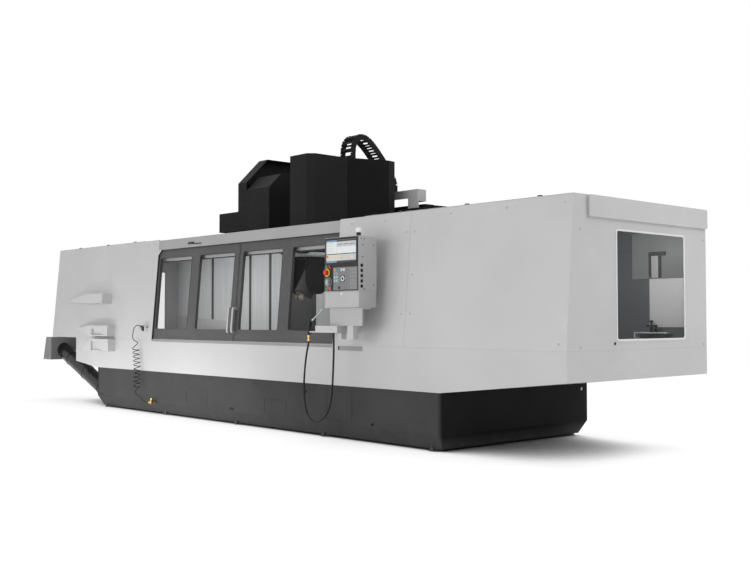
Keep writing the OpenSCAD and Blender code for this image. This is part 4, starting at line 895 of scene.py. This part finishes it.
def base_pieces():
    """Leveling screws, plugs and bolt of the base, bands of the discharge tube and screws of its head."""
    nut = turned([(0, 0.022), (0.004, 0.024), (0.016, 0.024), (0.020, 0.022)], (0, 0, 0.0165), sides=6)
    stud = turned([(0, 0.010), (0.052, 0.010), (0.054, 0.008)], (0, 0, 0.012), sides=16)
    screw = joined([nut, stud])
    spots = [(x * 3.32, y * 1.089) for x in (-1, -0.5, 0, 0.5, 1) for y in (-1, 1)]
    made = copies(screw, [shift(x, y, 0) for x, y in spots])
    done(made, "leveling_screws", "frame", HEADER)
    cup = turned([(0, 0.020), (0.003, 0.020), (0.005, 0.017), (0.005, 0.012), (-0.004, 0.011)], sides=20)
    caps = copies(cup, [aimed((x, BASE_FRONT, z), (0, -1, 0))
                        for x, z in ((-3.362, 0.185), (2.52, 0.20), (1.42, 0.48))])
    done(caps, "base_plugs", "frame", BLACK_PLASTIC)
    bolt = turned([(0, 0.017), (0.034, 0.017), (0.037, 0.014), (0.037, 0.008), (0.033, 0.008)],
                  (3.4595, 1.055, 0.513), (1, 0, 0), 18)
    done(bolt, "base_end_bolt", "frame", WHITE_KEY)
    slope = math.radians(21)
    along = Vector((-math.cos(slope), 0, math.sin(slope)))
    foot = Vector((-3.5, BASE_FRONT + 0.165, 0.206))
    collar = turned([(0, 0.113), (0, 0.117), (0.012, 0.117), (0.015, 0.115), (0.015, 0.1125)], sides=48)
    rings = copies(collar, [aimed(foot + along * s, along) for s in (0.16, 0.70, 1.24)])
    done(rings, "discharge_tube_bands", "frame", GLOSS_BLACK)
    head_face = BASE_FRONT - 0.0502
    lip = [(x, head_face, z) for x, z in ((-5.20, 0.66), (-5.04, 0.66), (-5.17, 0.95), (-5.04, 0.95))]
    screws("discharge_head_screws", "frame", 0.010, lip, (0, -1, 0), ZINC)


base_pieces()


# floor, light and background

def white_where_seen(tree):
    """1 for rays from the camera, mirrors and glass, 0 for the light that falls on the machine."""
    rays = tree.nodes.new("ShaderNodeLightPath")
    seen = rays.outputs["Is Camera Ray"]
    for kind in ("Is Glossy Ray", "Is Transmission Ray"):
        either = tree.nodes.new("ShaderNodeMath")
        either.operation = "MAXIMUM"
        tree.links.new(seen, either.inputs[0])
        tree.links.new(rays.outputs[kind], either.inputs[1])
        seen = either.outputs[0]
    return seen


def studio_floor():
    """A pale floor that keeps the machine's shadow and looks white in the open, with a painted shadow where ambient
    occlusion dims its glow near the machine.
    """
    fresh()
    bpy.ops.mesh.primitive_circle_add(vertices=96, radius=60, fill_type="NGON")
    floor = bpy.context.object
    floor.name = "studio_floor"
    made = bpy.data.materials.new("pale_floor")
    made.use_nodes = True
    tree = made.node_tree
    tree.nodes.clear()
    link = tree.links.new
    # painted shadow: the white glow seen from the camera fades with ambient occlusion close to the machine
    near = tree.nodes.new("ShaderNodeAmbientOcclusion")
    near.samples = 24
    near.inputs["Distance"].default_value = 2.5
    ao_painted_shadow = remap(tree, near.outputs["AO"], 0.08, 0.52, 0, 1.12, "SMOOTHSTEP")
    seen = tree.nodes.new("ShaderNodeMath")
    seen.operation = "MULTIPLY"
    seen.inputs[1].default_value = 0.65
    pale = tree.nodes.new("ShaderNodeBsdfDiffuse")
    pale.inputs["Color"].default_value = (0.93, 0.93, 0.93, 1)
    lit = tree.nodes.new("ShaderNodeEmission")
    mix = tree.nodes.new("ShaderNodeMixShader")
    out = tree.nodes.new("ShaderNodeOutputMaterial")
    link(ao_painted_shadow, lit.inputs["Strength"])
    link(white_where_seen(tree), seen.inputs[0])
    link(seen.outputs[0], mix.inputs["Fac"])
    link(pale.outputs[0], mix.inputs[1])
    link(lit.outputs[0], mix.inputs[2])
    link(mix.outputs[0], out.inputs["Surface"])
    floor.data.materials.append(made)


def studio_world():
    """Soft light from all round, behind a white background."""
    world = bpy.data.worlds.new("studio")
    bpy.context.scene.world = world
    world.use_nodes = True
    tree = world.node_tree
    tree.nodes.clear()
    soft = tree.nodes.new("ShaderNodeBackground")
    soft.inputs["Strength"].default_value = 0.45
    plain = tree.nodes.new("ShaderNodeBackground")
    plain.inputs["Color"].default_value = (1, 1, 1, 1)
    mix = tree.nodes.new("ShaderNodeMixShader")
    out = tree.nodes.new("ShaderNodeOutputWorld")
    tree.links.new(white_where_seen(tree), mix.inputs["Fac"])
    tree.links.new(soft.outputs[0], mix.inputs[1])
    tree.links.new(plain.outputs[0], mix.inputs[2])
    tree.links.new(mix.outputs[0], out.inputs["Surface"])


def soft_light(name, place, aim, size, watts, cone=180):
    """A rectangular lamp at a place, turned to an aim, within a cone of degrees."""
    lamp = bpy.data.lights.new(name, "AREA")
    lamp.spread = math.radians(cone)
    lamp.shape = "RECTANGLE"
    lamp.size, lamp.size_y = size
    lamp.energy = watts
    made = bpy.data.objects.new(name, lamp)
    made.location = place
    made.rotation_euler = (Vector(aim) - Vector(place)).to_track_quat("-Z", "Y").to_euler()
    bpy.context.scene.collection.objects.link(made)


studio_floor()
studio_world()
overhead = bpy.data.lights.new("overhead_light", "SUN")
overhead.energy = 1.5
overhead.angle = math.radians(50)
bpy.context.scene.collection.objects.link(bpy.data.objects.new("overhead_light", overhead))
soft_light("front_light", (1.0, -12.0, 2.6), (1.5, 0, 0.9), (9, 3), 400)
soft_light("low_left_light", (-2.0, -2.6, 0.10), (-2.0, -1.1, 0.34), (4.6, 0.15), 13, 100)
soft_light("right_light", (10.0, 3.0, 7.0), (4.9, 0, 1.4), (6, 4), 250)
soft_light("left_bay_light", (-3.0, -0.6, 2.12), (-3.0, 1.07, 1.25), (2.2, 0.3), 12.5, 120)
soft_light("right_bay_light", (4.4, -0.5, 2.2), (4.5, 1.07, 1.4), (0.8, 0.3), 6, 120)
bpy.context.scene.view_settings.view_transform = "Standard"
